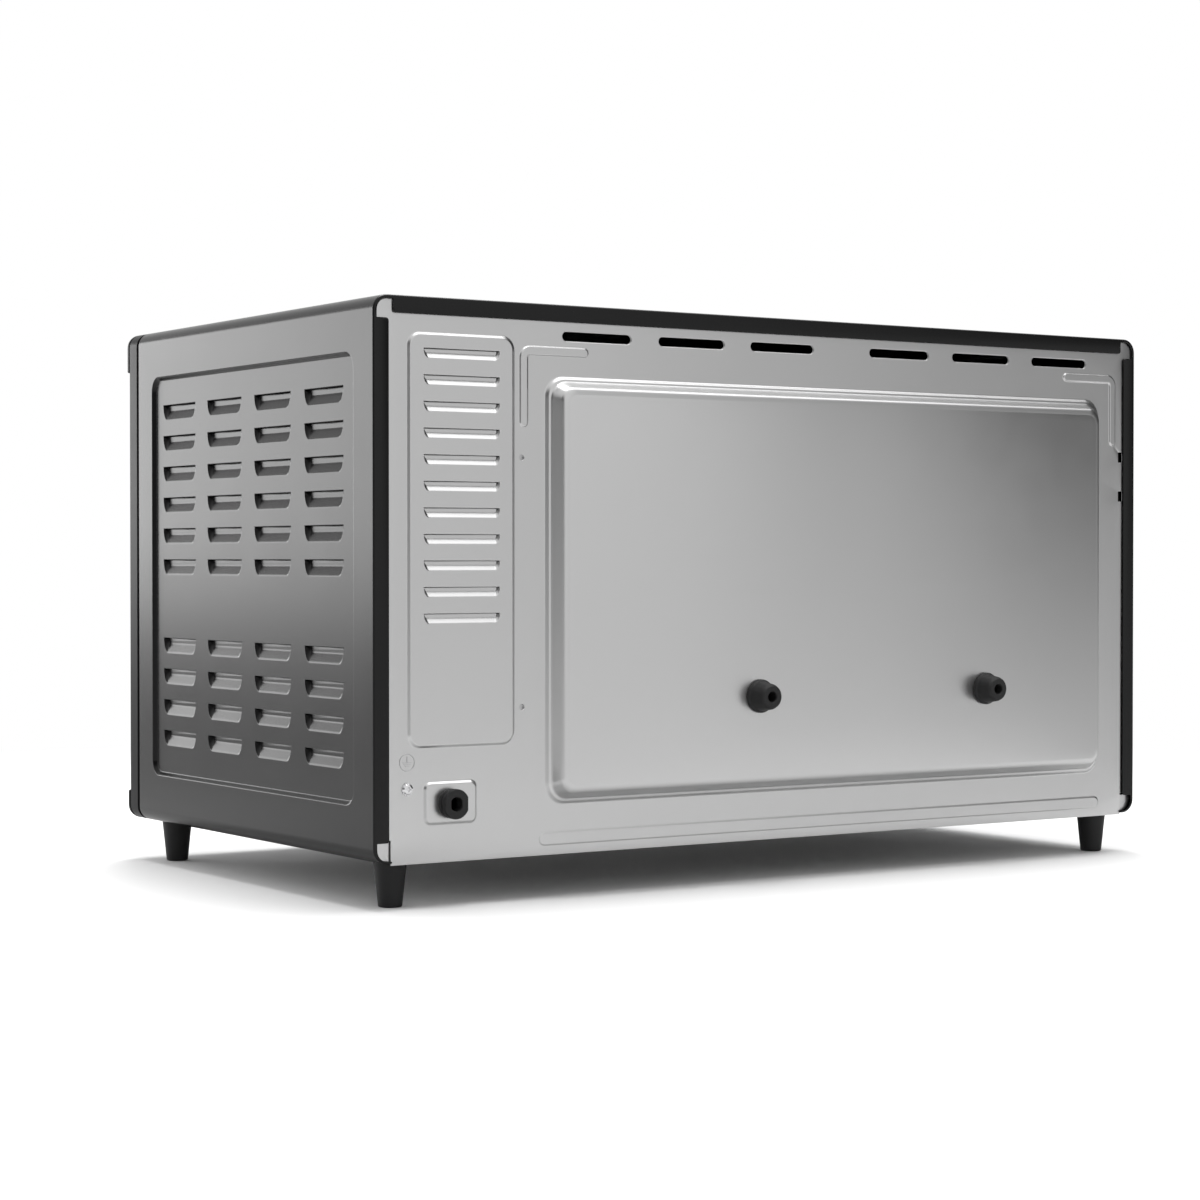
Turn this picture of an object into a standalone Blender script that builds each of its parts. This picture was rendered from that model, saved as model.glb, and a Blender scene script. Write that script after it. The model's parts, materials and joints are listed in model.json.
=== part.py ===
"""Countertop toaster oven: a painted wrap, a galvanised back and base, a drop-down glass door and a
column of three controls. Metres. Seen from the front, +X is to the right, +Y to the back and +Z up."""
import math

import bmesh
import bpy
from mathutils import Vector

# Overall
WRAP_WIDTH = 0.550
WRAP_DEPTH = 0.301
WRAP_HEIGHT = 0.3005
FOOT_HEIGHT = 0.025
SHEET = 0.001
GAP = 0.0003
CORNER_RADIUS = 0.0085
ARC_STEPS = 4
WELD = 0.0005

# Wrap: flanges folded over the back, returns folded under the base, louvres in the sides
FLANGE_WIDTH = 0.0093
TOP_FLANGE_HEIGHT = 0.0094
FLANGE_NOTCH = 0.0123
UNDER_RETURN = 0.036
LOUVRE_LENGTH = 0.0452
LOUVRE_SLIT = 0.0028
LOUVRE_PITCH_Y = 0.062
LOUVRE_PITCH_Z = 0.0187
LOUVRE_FIELD_BACK = 0.0375
LOUVRE_FIELD_FRONT = 0.0315
LOUVRE_TOP_ROWS = 6
LOUVRE_LOW_ROWS = 4
LOUVRE_TOP_MARGIN = 0.0462
LOUVRE_LOW_MARGIN = 0.0573
FOLD_STEP = 0.0001

# Front frame and its trims
FRAME_DEPTH = 0.0133
FRAME_SPIGOT = 0.003
FRAME_REBATE = 0.002
STILE_WIDTH = 0.013
MULLION_WIDTH = 0.004
OPENING_LAP = 0.0085
TOP_RAIL_HEIGHT = 0.0238
BOTTOM_RAIL_HEIGHT = 0.0176
TRIM_PROUD = 0.0038
FACIA_PROUD = 0.0012

# Oven cavity
CAVITY_LEFT_INSET = 0.026
CONTROL_BAY_WIDTH = 0.0995
CAVITY_TOP_INSET = 0.0345
WALL_FLANGE = 0.014
RIB_DEPTH = 0.0065
RIB_HEIGHT = 0.0045
RACK_RIB_Z = 0.108
ROOF_OVERHANG = 0.003
ROOF_BACK_FLANGE = 0.009
ROOF_FRONT_FLANGE = 0.022

# Back panel
BULGE_OUT = 0.0095
BULGE_INSET = 0.0065
BULGE_BOTTOM = 0.0265
BULGE_TOP_MARGIN = 0.0391
BULGE_RADIUS = 0.011
PRESSING_OUT = 0.0012
PRESSING_RADIUS = 0.006
VENT_LENGTH = 0.046
VENT_HEIGHT = 0.0058
VENT_SHIFT = 0.0022
VENT_PITCH = 0.0643
VENT_GROUP_OFFSET = 0.0438
VENT_TOP_MARGIN = 0.0171
VENTS_PER_GROUP = 3
REAR_LOUVRE_LENGTH = 0.0475
REAR_LOUVRE_PITCH = 0.01413
REAR_LOUVRES = 11
REAR_LOUVRE_TOP_MARGIN = 0.0272
FIELD_TOP_MARGIN = 0.0186
FIELD_BOTTOM = 0.0602
FIELD_SIDE_MARGIN = 0.0207
FIELD_WALL_MARGIN = 0.0119
BEAD_WIDTH = 0.0052
BEAD_WALL_MARGIN = 0.0034
BEAD_ARM = 0.044
BEAD_TOP_MARGIN = 0.0237
BEAD_CHAMFER = 0.004
FOOT_BEAD_Z = 0.0078
FOOT_BEAD_HEIGHT = 0.0074
FOOT_BEAD_INSET = 0.011
SCREW_HOLE_RADIUS = 0.0015
SCREW_HOLE_MARGIN = 0.0071
SCREW_HOLE_Z = 0.0805
SCREW_HOLE_TOP_MARGIN = 0.084
TAB_SLOT_TOP_MARGINS = (0.0757, 0.1005)
TAB_SLOT_OFFSET = 0.0147
TAB_SLOT_WIDTH = 0.0028
TAB_SLOT_HEIGHT = 0.0064
BASE_FLANGE_HEIGHT = 0.0115

# Gland, earth screw and bumpers on the back
GLAND_SIDE_MARGIN = 0.0471
GLAND_Z = 0.0303
GLAND_RADIUS = 0.0081
GLAND_FLANGE_RADIUS = 0.0096
GLAND_BORE_RADIUS = 0.0038
GLAND_OUT = 0.0082
PAD_WIDTH = 0.0332
PAD_HEIGHT = 0.0236
PAD_CORNER = 0.004
GLAND_NECK_LENGTH = 0.009
GLAND_NECK_STEP = 0.001
EARTH_SIDE_MARGIN = 0.0208
EARTH_Z = 0.039
EARTH_RADIUS = 0.0036
BUMPER_OFFSETS = (0.0653, -0.1053)
BUMPER_Z = 0.0827
BUMPER_LENGTH = 0.0125
BUMPER_RADIUS = 0.0096
BUMPER_TIP_RADIUS = 0.0063
BUMPER_HOLE_RADIUS = 0.003

# Feet
FOOT_SIDE_INSET = 0.0197
FOOT_BACK_INSET = 0.018
FOOT_FRONT_INSET = 0.0125
FOOT_TOP_RADIUS = 0.009
FOOT_TIP_RADIUS = 0.0066

# Door, hinge and handle
DOOR_THICKNESS = 0.016
DOOR_IN_FRAME = 0.002
DOOR_SKIN = 0.003
DOOR_CLEARANCE = 0.001
DOOR_SIDE_RAIL = 0.030
DOOR_TOP_RAIL = 0.052
DOOR_BOTTOM_RAIL = 0.030
GLASS_THICKNESS = 0.004
GLASS_LAP = 0.008
RETAINER_WIDTH = 0.018
PIN_RADIUS = 0.003
PIN_IN_DOOR = 0.012
PIN_IN_FRAME = 0.008
PIN_RUNNING_FIT = 0.00009
HANDLE_REACH = 0.035
HANDLE_BAR_DEPTH = 0.012
HANDLE_BAR_HEIGHT = 0.020
HANDLE_TOP_DROP = 0.026
POST_INSET = 0.022
HANDLE_OVERHANG = 0.018
POST_RADIUS = 0.0065

# Controls
PANEL_THICKNESS = 0.003
KNOB_RADIUS = 0.019
KNOB_DEPTH = 0.021
KNOB_GRIP = 0.008
KNOB_PLACES = (0.762, 0.492, 0.222)
SHAFT_RADIUS = 0.003
SHAFT_CLEARANCE = 0.0006
CONTROL_BODY = 0.040
CONTROL_BODY_DEPTH = 0.028
CONTROL_BODY_SLIM = (0.006, 0.002, 0.0)
SENSOR_RADIUS = 0.0022
SENSOR_BULB_LENGTH = 0.096
SENSOR_DROP = 0.030
LENS_RADIUS = 0.0035
LENS_PLACE = 0.920
TERMINAL_LENGTH = 0.036
TERMINAL_BLOCK = 0.020
TERMINAL_BACK_INSET = 0.016
LOOM_RADIUS = 0.004

# Heating elements
ELEMENT_RADIUS = 0.0031
ELEMENT_BEND = 0.022
ELEMENT_LEG_INSET = 0.062
UPPER_ELEMENT_DROP = 0.020
LOWER_ELEMENT_Z = 0.034
ELEMENT_TAIL = 0.016
ELEMENT_END_INSET = 0.014
CLIP_REACH = 0.008
BUSHING_RADIUS = 0.0052
BUSHING_FLANGE = 0.008
BUSHING_FLANGE_DEPTH = 0.0035
BUSHING_NOSE = 0.003

# Rack and trays
RACK_WIRE = 0.002
CROSS_WIRE = 0.0013
RACK_SIDE_CLEARANCE = 0.002
RACK_FRONT_INSET = 0.009
RACK_BACK_INSET = 0.014
RACK_CORNER = 0.008
CROSS_OVERHANG = 0.0012
CROSS_WIRES = 11
TRAY_INSET = 0.021
TRAY_END_INSET = 0.008
TRAY_CORNER = 0.010
TRAY_HEIGHT = 0.020
TRAY_FLARE = 0.006
TRAY_SHEET = 0.0008
CRUMB_TRAY_INSET = 0.028
CRUMB_TRAY_HEIGHT = 0.009
CRUMB_SLOT_CLEARANCE = 0.0006
CRUMB_LIP = 0.003
CRUMB_LIP_SIDE = 0.002
CRUMB_LIP_DROP = 0.0012
CRUMB_LIP_RISE = 0.0015
CRUMB_TAB_INSET = 0.011

# Derived places
HALF_WIDTH = WRAP_WIDTH / 2
BASE_Z = FOOT_HEIGHT
TOP_Z = BASE_Z + WRAP_HEIGHT
PANEL_SETBACK = SHEET + GAP
DOOR_FACE_OUT = DOOR_THICKNESS - DOOR_IN_FRAME
FRONT_STANDOFF = DOOR_FACE_OUT + HANDLE_REACH
REAR_STANDOFF = BULGE_OUT - PANEL_SETBACK + GAP + BUMPER_LENGTH
BACK_Y = (FRONT_STANDOFF + WRAP_DEPTH + REAR_STANDOFF) / 2 - REAR_STANDOFF
FRONT_Y = BACK_Y - WRAP_DEPTH
PANEL_Y = BACK_Y - PANEL_SETBACK
INNER_BACK_Y = PANEL_Y - SHEET - GAP
WALL_FRONT_Y = FRONT_Y + FRAME_SPIGOT + GAP
CAVITY_LEFT = -HALF_WIDTH + CAVITY_LEFT_INSET
CAVITY_RIGHT = HALF_WIDTH - CONTROL_BAY_WIDTH
CAVITY_X = (CAVITY_LEFT + CAVITY_RIGHT) / 2
CAVITY_TOP = TOP_Z - CAVITY_TOP_INSET
BASE_TOP = BASE_Z + SHEET + GAP + SHEET
OPENING_LEFT = -HALF_WIDTH + STILE_WIDTH
OPENING_RIGHT = CAVITY_RIGHT + OPENING_LAP
OPENING_BOTTOM = BASE_Z + BOTTOM_RAIL_HEIGHT
OPENING_TOP = TOP_Z - TOP_RAIL_HEIGHT
OPENING_HEIGHT = OPENING_TOP - OPENING_BOTTOM
KNOB_Z = [OPENING_BOTTOM + place * OPENING_HEIGHT for place in KNOB_PLACES]
LENS_Z = OPENING_BOTTOM + LENS_PLACE * OPENING_HEIGHT
PANEL_LEFT = OPENING_RIGHT + MULLION_WIDTH
PANEL_RIGHT = HALF_WIDTH - STILE_WIDTH
CONTROL_X = (PANEL_LEFT + PANEL_RIGHT) / 2
DOOR_LEFT = OPENING_LEFT + DOOR_CLEARANCE
DOOR_RIGHT = OPENING_RIGHT - DOOR_CLEARANCE
DOOR_X = (DOOR_LEFT + DOOR_RIGHT) / 2
DOOR_FRONT = FRONT_Y - DOOR_FACE_OUT
DOOR_BACK = DOOR_FRONT + DOOR_THICKNESS
HINGE_Y = (DOOR_FRONT + DOOR_BACK) / 2
HINGE_Z = OPENING_BOTTOM + DOOR_CLEARANCE + DOOR_THICKNESS / 2
DOOR_TOP = OPENING_TOP - DOOR_CLEARANCE
FACIA_FRONT = FRONT_Y - FRAME_DEPTH - FACIA_PROUD
RIB_TOP = BASE_Z + RACK_RIB_Z + RIB_HEIGHT
RACK_Z = RIB_TOP + GAP + RACK_WIRE
CROSS_Z = RACK_Z + RACK_WIRE
UPPER_ELEMENT_Z = CAVITY_TOP - UPPER_ELEMENT_DROP
ELEMENT_LEFT = CAVITY_LEFT + ELEMENT_END_INSET
ELEMENT_RIGHT = CAVITY_RIGHT + ELEMENT_TAIL
LEG_FRONT_Y = WALL_FRONT_Y + ELEMENT_LEG_INSET
LEG_BACK_Y = INNER_BACK_Y - ELEMENT_LEG_INSET
CRUMB_LEFT = CAVITY_LEFT + CRUMB_TRAY_INSET
CRUMB_RIGHT = CAVITY_RIGHT - CRUMB_TRAY_INSET
CRUMB_BOTTOM = BASE_TOP + GAP
CRUMB_TOP = CRUMB_BOTTOM + CRUMB_TRAY_HEIGHT
GLAND_X = HALF_WIDTH - GLAND_SIDE_MARGIN
BUMPER_Y = PANEL_Y + BULGE_OUT + GAP


def clear_scene():
    for obj in list(bpy.data.objects):
        bpy.data.objects.remove(obj, do_unlink=True)


def finish(name, colour, roughness, metallic, alpha=1.0):
    """A Principled material."""
    made = bpy.data.materials.new(name)
    made.use_nodes = True
    shader = made.node_tree.nodes["Principled BSDF"]
    shader.inputs["Base Color"].default_value = (*colour, 1.0)
    shader.inputs["Roughness"].default_value = roughness
    shader.inputs["Metallic"].default_value = metallic
    shader.inputs["Alpha"].default_value = alpha
    made.diffuse_color = (*colour, alpha)
    return made


def add_ring(bm, points):
    return [bm.verts.new(point) for point in points]


def bridge(bm, ring_a, ring_b):
    for i in range(len(ring_a)):
        j = (i + 1) % len(ring_a)
        bm.faces.new((ring_a[i], ring_a[j], ring_b[j], ring_b[i]))


def loft(bm, rings):
    """Joins rings of equal length into one closed solid with flat ends."""
    made = [add_ring(bm, ring) for ring in rings]
    for ring_a, ring_b in zip(made, made[1:]):
        bridge(bm, ring_a, ring_b)
    bm.faces.new(made[0])
    bm.faces.new(list(reversed(made[-1])))


PLACE = {
    "X": lambda u, v, along: (along, u, v),
    "Y": lambda u, v, along: (u, along, v),
    "Z": lambda u, v, along: (u, v, along),
}


def prism(bm, outline, axis, low, high):
    """Extrudes an outline of (u, v) points along an axis."""
    place = PLACE[axis]
    loft(bm, [[place(u, v, along) for u, v in outline] for along in (low, high)])


def box(bm, low, high):
    outline = [(low[0], low[1]), (high[0], low[1]), (high[0], high[1]), (low[0], high[1])]
    prism(bm, outline, "Z", low[2], high[2])


def arc(centre_u, centre_v, radius, start, end, steps=ARC_STEPS):
    """Points on an arc, angles in degrees."""
    angles = [math.radians(start + (end - start) * i / steps) for i in range(steps + 1)]
    return [(centre_u + radius * math.cos(a), centre_v + radius * math.sin(a)) for a in angles]


def rounded(u0, u1, v0, v1, radius, steps=ARC_STEPS):
    """A rectangle with four rounded corners."""
    return (
        arc(u1 - radius, v0 + radius, radius, -90, 0, steps)
        + arc(u1 - radius, v1 - radius, radius, 0, 90, steps)
        + arc(u0 + radius, v1 - radius, radius, 90, 180, steps)
        + arc(u0 + radius, v0 + radius, radius, 180, 270, steps)
    )


def slot_outline(centre_u, centre_v, length, height, steps=ARC_STEPS):
    """A slot along u with round ends."""
    radius = height / 2
    reach = length / 2 - radius
    return arc(centre_u + reach, centre_v, radius, -90, 90, steps) + arc(
        centre_u - reach, centre_v, radius, 90, 270, steps
    )


def turned(bm, profile, centre, axis, steps=20, hollow=False):
    """Turns (radius, along) points about an axis through centre; a hollow profile is a closed loop."""
    place = PLACE[axis]
    cu, cv, start = {
        "X": (centre[1], centre[2], centre[0]),
        "Y": (centre[0], centre[2], centre[1]),
        "Z": centre,
    }[axis]
    rings = []
    for radius, along in profile:
        circle = arc(0, 0, radius, 0, 360 - 360 / steps, steps - 1)
        rings.append([place(cu + u, cv + v, start + along) for u, v in circle])
    if not hollow:
        loft(bm, rings)
        return
    made = [add_ring(bm, ring) for ring in rings]
    for ring_a, ring_b in zip(made, made[1:] + made[:1]):
        bridge(bm, ring_a, ring_b)


def swept(bm, path, radius, sides):
    """A round bar along a path of points."""
    points = [Vector(point) for point in path]
    side = None
    rings = []
    for i, point in enumerate(points):
        ahead = points[min(i + 1, len(points) - 1)] - points[max(i - 1, 0)]
        ahead.normalize()
        if side is None:
            side = ahead.orthogonal().normalized()
        side = (side - ahead * side.dot(ahead)).normalized()
        up = ahead.cross(side)
        turn = [2 * math.pi * k / sides for k in range(sides)]
        rings.append([point + radius * (side * math.cos(a) + up * math.sin(a)) for a in turn])
    loft(bm, rings)


def bar(bm, start, end, radius, sides=8):
    swept(bm, [start, end], radius, sides)


def mesh_object(name, bm, material=None, pivot=(0, 0, 0), smooth=False):
    """Puts a mesh into the scene with its origin at pivot."""
    bmesh.ops.recalc_face_normals(bm, faces=bm.faces)
    bmesh.ops.translate(bm, verts=bm.verts, vec=-Vector(pivot))
    mesh = bpy.data.meshes.new(name)
    bm.to_mesh(mesh)
    bm.free()
    if material:
        mesh.materials.append(material)
    if smooth:
        mesh.shade_smooth()
        mesh.set_sharp_from_angle(angle=math.radians(35))
    obj = bpy.data.objects.new(name, mesh)
    obj.location = pivot
    bpy.context.scene.collection.objects.link(obj)
    return obj


def boolean(target, operation, bm):
    """Adds a tool solid to the target, or takes it away."""
    tool = mesh_object(f"{target.name}_{operation.lower()}_{len(target.modifiers)}", bm)
    tool.hide_render = True
    tool.display_type = "WIRE"
    step = target.modifiers.new(operation.title(), "BOOLEAN")
    step.operation = operation
    step.solver = "EXACT"
    step.use_self = operation == "UNION"
    step.object = tool


def inset_body_outline(inset):
    """The wrap's cross-section, moved inwards."""
    return rounded(
        -HALF_WIDTH + inset,
        HALF_WIDTH - inset,
        BASE_Z + inset,
        TOP_Z - inset,
        CORNER_RADIUS - inset,
    )


def louvre_rows():
    """Heights of the side slits: a group near the top and a group near the base."""
    top = [TOP_Z - LOUVRE_TOP_MARGIN - i * LOUVRE_PITCH_Z for i in range(LOUVRE_TOP_ROWS)]
    low = [BASE_Z + LOUVRE_LOW_MARGIN + i * LOUVRE_PITCH_Z for i in range(LOUVRE_LOW_ROWS)]
    return low + [z for z in top if z > low[-1] + LOUVRE_PITCH_Z]


def louvre_columns():
    """Middles of the side slits from the back, as many as fit the depth."""
    first = BACK_Y - LOUVRE_FIELD_BACK - LOUVRE_LENGTH / 2
    room = WRAP_DEPTH - LOUVRE_FIELD_BACK - LOUVRE_FIELD_FRONT - LOUVRE_LENGTH
    count = 1 + math.floor(room / LOUVRE_PITCH_Y + 1e-6)
    return [first - i * LOUVRE_PITCH_Y for i in range(count)]


def build_wrap(paint):
    bm = bmesh.new()
    prism(bm, inset_body_outline(0), "Y", FRONT_Y, BACK_Y)
    wrap = mesh_object("outer_wrap", bm, paint)
    bm = bmesh.new()
    prism(bm, inset_body_outline(SHEET), "Y", FRONT_Y - SHEET, BACK_Y + SHEET)
    boolean(wrap, "DIFFERENCE", bm)
    bm = bmesh.new()
    reach = HALF_WIDTH - UNDER_RETURN
    box(bm, (-reach, FRONT_Y - SHEET, BASE_Z - SHEET), (reach, BACK_Y + SHEET, BASE_Z + 3 * SHEET))
    boolean(wrap, "DIFFERENCE", bm)
    boolean(wrap, "UNION", wrap_flanges())
    boolean(wrap, "DIFFERENCE", wrap_slits())


def wrap_flanges():
    """Three strips folded over the back panel, stopping short of the corners."""
    bm = bmesh.new()
    near = BACK_Y - SHEET - FOLD_STEP
    far = BACK_Y - FOLD_STEP
    top_reach = HALF_WIDTH - FLANGE_NOTCH
    box(bm, (-top_reach, near, TOP_Z - TOP_FLANGE_HEIGHT), (top_reach, far, TOP_Z - WELD))
    for side in (-1, 1):
        xs = sorted((side * (HALF_WIDTH - FLANGE_WIDTH), side * (HALF_WIDTH - WELD)))
        low = (xs[0], near, BASE_Z + BASE_FLANGE_HEIGHT)
        box(bm, low, (xs[1], far, TOP_Z - FLANGE_NOTCH))
    return bm


def wrap_slits():
    bm = bmesh.new()
    for side in (-1, 1):
        xs = sorted((side * (HALF_WIDTH - 3 * SHEET), side * (HALF_WIDTH + SHEET)))
        for y in louvre_columns():
            for z in louvre_rows():
                low = (xs[0], y - LOUVRE_LENGTH / 2, z - LOUVRE_SLIT)
                box(bm, low, (xs[1], y + LOUVRE_LENGTH / 2, z))
    return bm


def bulge_rings(inset, lift):
    """Rounded rectangles that rise from the panel in two steps, for the bulge behind the cavity."""
    left = CAVITY_LEFT + BULGE_INSET
    right = CAVITY_RIGHT - BULGE_INSET
    low = BASE_Z + BULGE_BOTTOM
    high = TOP_Z - BULGE_TOP_MARGIN
    steps = ((0.0, -SHEET / 2), (0.0, 0.0), (0.0012, 0.0018), (0.0036, 0.0024))
    steps += ((0.0085, BULGE_OUT - 0.0006), (0.011, BULGE_OUT))
    rings = []
    for shrink, rise in steps:
        s = shrink + inset
        outline = rounded(left + s, right - s, low + s, high - s, BULGE_RADIUS - inset)
        rings.append([(u, PANEL_Y + rise + lift, v) for u, v in outline])
    return rings


def panel_outline():
    """The back panel: full width under the wrap's flanges, narrower where the base flange shows."""
    half = HALF_WIDTH - SHEET - GAP
    narrow = HALF_WIDTH - FLANGE_WIDTH - 0.0005
    step_z = BASE_Z + BASE_FLANGE_HEIGHT + 0.0008
    radius = CORNER_RADIUS - SHEET
    top = TOP_Z - SHEET - GAP
    low = BASE_Z + SHEET + GAP
    return (
        [(-narrow, low), (narrow, low), (narrow, step_z), (half, step_z)]
        + arc(half - radius, top - radius, radius, 0, 90)
        + arc(-half + radius, top - radius, radius, 90, 180)
        + [(-half, step_z), (-narrow, step_z)]
    )


def build_back_panel(steel):
    bm = bmesh.new()
    prism(bm, panel_outline(), "Y", PANEL_Y - SHEET, PANEL_Y)
    panel = mesh_object("rear_panel", bm, steel)
    bm = bmesh.new()
    loft(bm, bulge_rings(0, 0))
    panel_pressings(bm)
    boolean(panel, "UNION", bm)
    bm = bmesh.new()
    rings = bulge_rings(SHEET, -SHEET)
    rings[0] = [(x, y - 2 * SHEET, z) for x, y, z in rings[0]]
    loft(bm, rings)
    boolean(panel, "DIFFERENCE", bm)
    boolean(panel, "DIFFERENCE", panel_holes())


def panel_pressings(bm):
    """Raised fields and beads pressed out of the back panel."""
    near = PANEL_Y - SHEET / 2
    far = PANEL_Y + PRESSING_OUT
    field = rounded(
        CAVITY_RIGHT + FIELD_WALL_MARGIN,
        HALF_WIDTH - FIELD_SIDE_MARGIN,
        BASE_Z + FIELD_BOTTOM,
        TOP_Z - FIELD_TOP_MARGIN,
        PRESSING_RADIUS,
    )
    prism(bm, field, "Y", near, far)
    pad_half = PAD_WIDTH / 2
    pad_low = BASE_Z + GLAND_Z - PAD_HEIGHT / 2
    pad = rounded(GLAND_X - pad_half, GLAND_X + pad_half, pad_low, pad_low + PAD_HEIGHT, PAD_CORNER)
    prism(bm, pad, "Y", near, far)
    length = CAVITY_RIGHT - CAVITY_LEFT - FOOT_BEAD_INSET
    foot_bead = slot_outline(CAVITY_X, BASE_Z + FOOT_BEAD_Z, length, FOOT_BEAD_HEIGHT)
    prism(bm, foot_bead, "Y", near, far)
    for side in (-1, 1):
        prism(bm, corner_bead(side), "Y", near, far)


def corner_bead(side):
    """An L of pressed bead beside a top corner of the cavity."""
    outer = (CAVITY_RIGHT - CAVITY_X) + BEAD_WALL_MARGIN + BEAD_WIDTH
    inner = outer - BEAD_WIDTH
    top = TOP_Z - BEAD_TOP_MARGIN
    low = top - BEAD_ARM
    cut = BEAD_CHAMFER
    points = [(outer, low), (outer, top - cut), (outer - cut, top), (outer - BEAD_ARM, top)]
    points += [(outer - BEAD_ARM, top - BEAD_WIDTH), (inner, top - BEAD_WIDTH), (inner, low)]
    return [(CAVITY_X + side * u, v) for u, v in points]


def vent_centres():
    """Middles of the vents along the top of the back, in two mirrored groups."""
    offsets = [VENT_GROUP_OFFSET + i * VENT_PITCH for i in range(VENTS_PER_GROUP)]
    return [CAVITY_X - VENT_SHIFT + side * offset for side in (-1, 1) for offset in offsets]


def panel_holes():
    """Vents, louvre slits, screw holes, tab slots and the gland's hole."""
    bm = bmesh.new()
    near = PANEL_Y - 3 * SHEET
    far = PANEL_Y + 3 * SHEET
    for x in vent_centres():
        outline = slot_outline(x, TOP_Z - VENT_TOP_MARGIN, VENT_LENGTH, VENT_HEIGHT)
        prism(bm, outline, "Y", near, far)
    field_x = (CAVITY_RIGHT + FIELD_WALL_MARGIN + HALF_WIDTH - FIELD_SIDE_MARGIN) / 2
    for i in range(REAR_LOUVRES):
        z = TOP_Z - REAR_LOUVRE_TOP_MARGIN - i * REAR_LOUVRE_PITCH
        half = REAR_LOUVRE_LENGTH / 2
        box(bm, (field_x - half, near, z - LOUVRE_SLIT), (field_x + half, far, z))
    hole = [(SCREW_HOLE_RADIUS, 0), (SCREW_HOLE_RADIUS, far - near)]
    for z in (BASE_Z + SCREW_HOLE_Z, TOP_Z - SCREW_HOLE_TOP_MARGIN):
        turned(bm, hole, (CAVITY_RIGHT + SCREW_HOLE_MARGIN, near, z), "Y", 8)
    x = CAVITY_LEFT - TAB_SLOT_OFFSET
    half = TAB_SLOT_WIDTH / 2
    for margin in TAB_SLOT_TOP_MARGINS:
        top = TOP_Z - margin + TAB_SLOT_HEIGHT / 2
        box(bm, (x - half, near, top - TAB_SLOT_HEIGHT), (x + half, far, top))
    neck = GLAND_RADIUS - GLAND_NECK_STEP + GAP
    turned(bm, [(neck, 0), (neck, far - near)], (GLAND_X, near, BASE_Z + GLAND_Z), "Y", 16)
    return bm


def build_base(steel):
    """A flat base with an upturned flange behind the back panel, whose rounded ends show as ears."""
    half = HALF_WIDTH - CORNER_RADIUS
    bm = bmesh.new()
    box(bm, (-half, WALL_FRONT_Y, BASE_TOP - SHEET), (half, INNER_BACK_Y, BASE_TOP))
    base = mesh_object("base_plate", bm, steel)
    inset = SHEET + GAP
    radius = CORNER_RADIUS - inset
    low = BASE_Z + inset
    edge = HALF_WIDTH - inset
    top = BASE_Z + BASE_FLANGE_HEIGHT - GAP
    outline = arc(edge - radius, low + radius, radius, -90, 0)
    outline += [(edge, top), (-edge, top)]
    outline += arc(-edge + radius, low + radius, radius, 180, 270)
    bm = bmesh.new()
    prism(bm, outline, "Y", INNER_BACK_Y - SHEET, INNER_BACK_Y - FOLD_STEP)
    boolean(base, "UNION", bm)


def build_front_frame(paint):
    bm = bmesh.new()
    prism(bm, inset_body_outline(0), "Y", FRONT_Y - FRAME_DEPTH, FRONT_Y - FRAME_REBATE)
    frame = mesh_object("front_frame", bm, paint)
    bm = bmesh.new()
    spigot = inset_body_outline(SHEET + GAP)
    prism(bm, spigot, "Y", FRONT_Y - 2 * FRAME_REBATE, FRONT_Y + FRAME_SPIGOT)
    boolean(frame, "UNION", bm)
    bm = bmesh.new()
    near = FRONT_Y - FRAME_DEPTH - SHEET
    far = FRONT_Y + FRAME_SPIGOT + SHEET
    box(bm, (OPENING_LEFT, near, OPENING_BOTTOM), (OPENING_RIGHT, far, OPENING_TOP))
    box(bm, (PANEL_LEFT, near, OPENING_BOTTOM), (PANEL_RIGHT, far, OPENING_TOP))
    crumb_slot(bm, near, far)
    boolean(frame, "DIFFERENCE", bm)
    boolean(frame, "DIFFERENCE", pin_sockets())


def crumb_slot(bm, near, far):
    c = CRUMB_SLOT_CLEARANCE
    low = (CRUMB_LEFT - c, near, CRUMB_BOTTOM - c)
    box(bm, low, (CRUMB_RIGHT + c, far, CRUMB_TOP + c))


def pin_sockets():
    """Blind holes in the stile and the mullion for the free ends of the hinge pins."""
    bm = bmesh.new()
    radius = PIN_RADIUS + PIN_RUNNING_FIT
    profile = [(radius, 0), (radius, PIN_IN_FRAME + 2 * SHEET)]
    turned(bm, profile, (OPENING_LEFT - PIN_IN_FRAME - SHEET, HINGE_Y, HINGE_Z), "X", 16)
    depth = right_pin_depth()
    profile = [(radius, -SHEET), (radius, depth + GAP)]
    turned(bm, profile, (OPENING_RIGHT, HINGE_Y, HINGE_Z), "X", 16)
    return bm


def right_pin_depth():
    """The mullion is thin, so the right pin stops inside it."""
    return MULLION_WIDTH - SHEET


def build_trims(paint):
    near = FRONT_Y - FRAME_DEPTH - TRIM_PROUD
    far = FRONT_Y - FRAME_DEPTH - GAP
    bm = bmesh.new()
    r = CORNER_RADIUS
    top = [(-HALF_WIDTH, OPENING_TOP), (HALF_WIDTH, OPENING_TOP)]
    top += arc(HALF_WIDTH - r, TOP_Z - r, r, 0, 90) + arc(-HALF_WIDTH + r, TOP_Z - r, r, 90, 180)
    prism(bm, top, "Y", near, far)
    mesh_object("top_trim", bm, paint)
    bm = bmesh.new()
    low = arc(HALF_WIDTH - r, BASE_Z + r, r, -90, 0)
    low += [(HALF_WIDTH, OPENING_BOTTOM), (-HALF_WIDTH, OPENING_BOTTOM)]
    low += arc(-HALF_WIDTH + r, BASE_Z + r, r, 180, 270)
    prism(bm, low, "Y", near, far)
    trim = mesh_object("bottom_trim", bm, paint)
    bm = bmesh.new()
    crumb_slot(bm, near - SHEET, far + SHEET)
    boolean(trim, "DIFFERENCE", bm)


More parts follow.
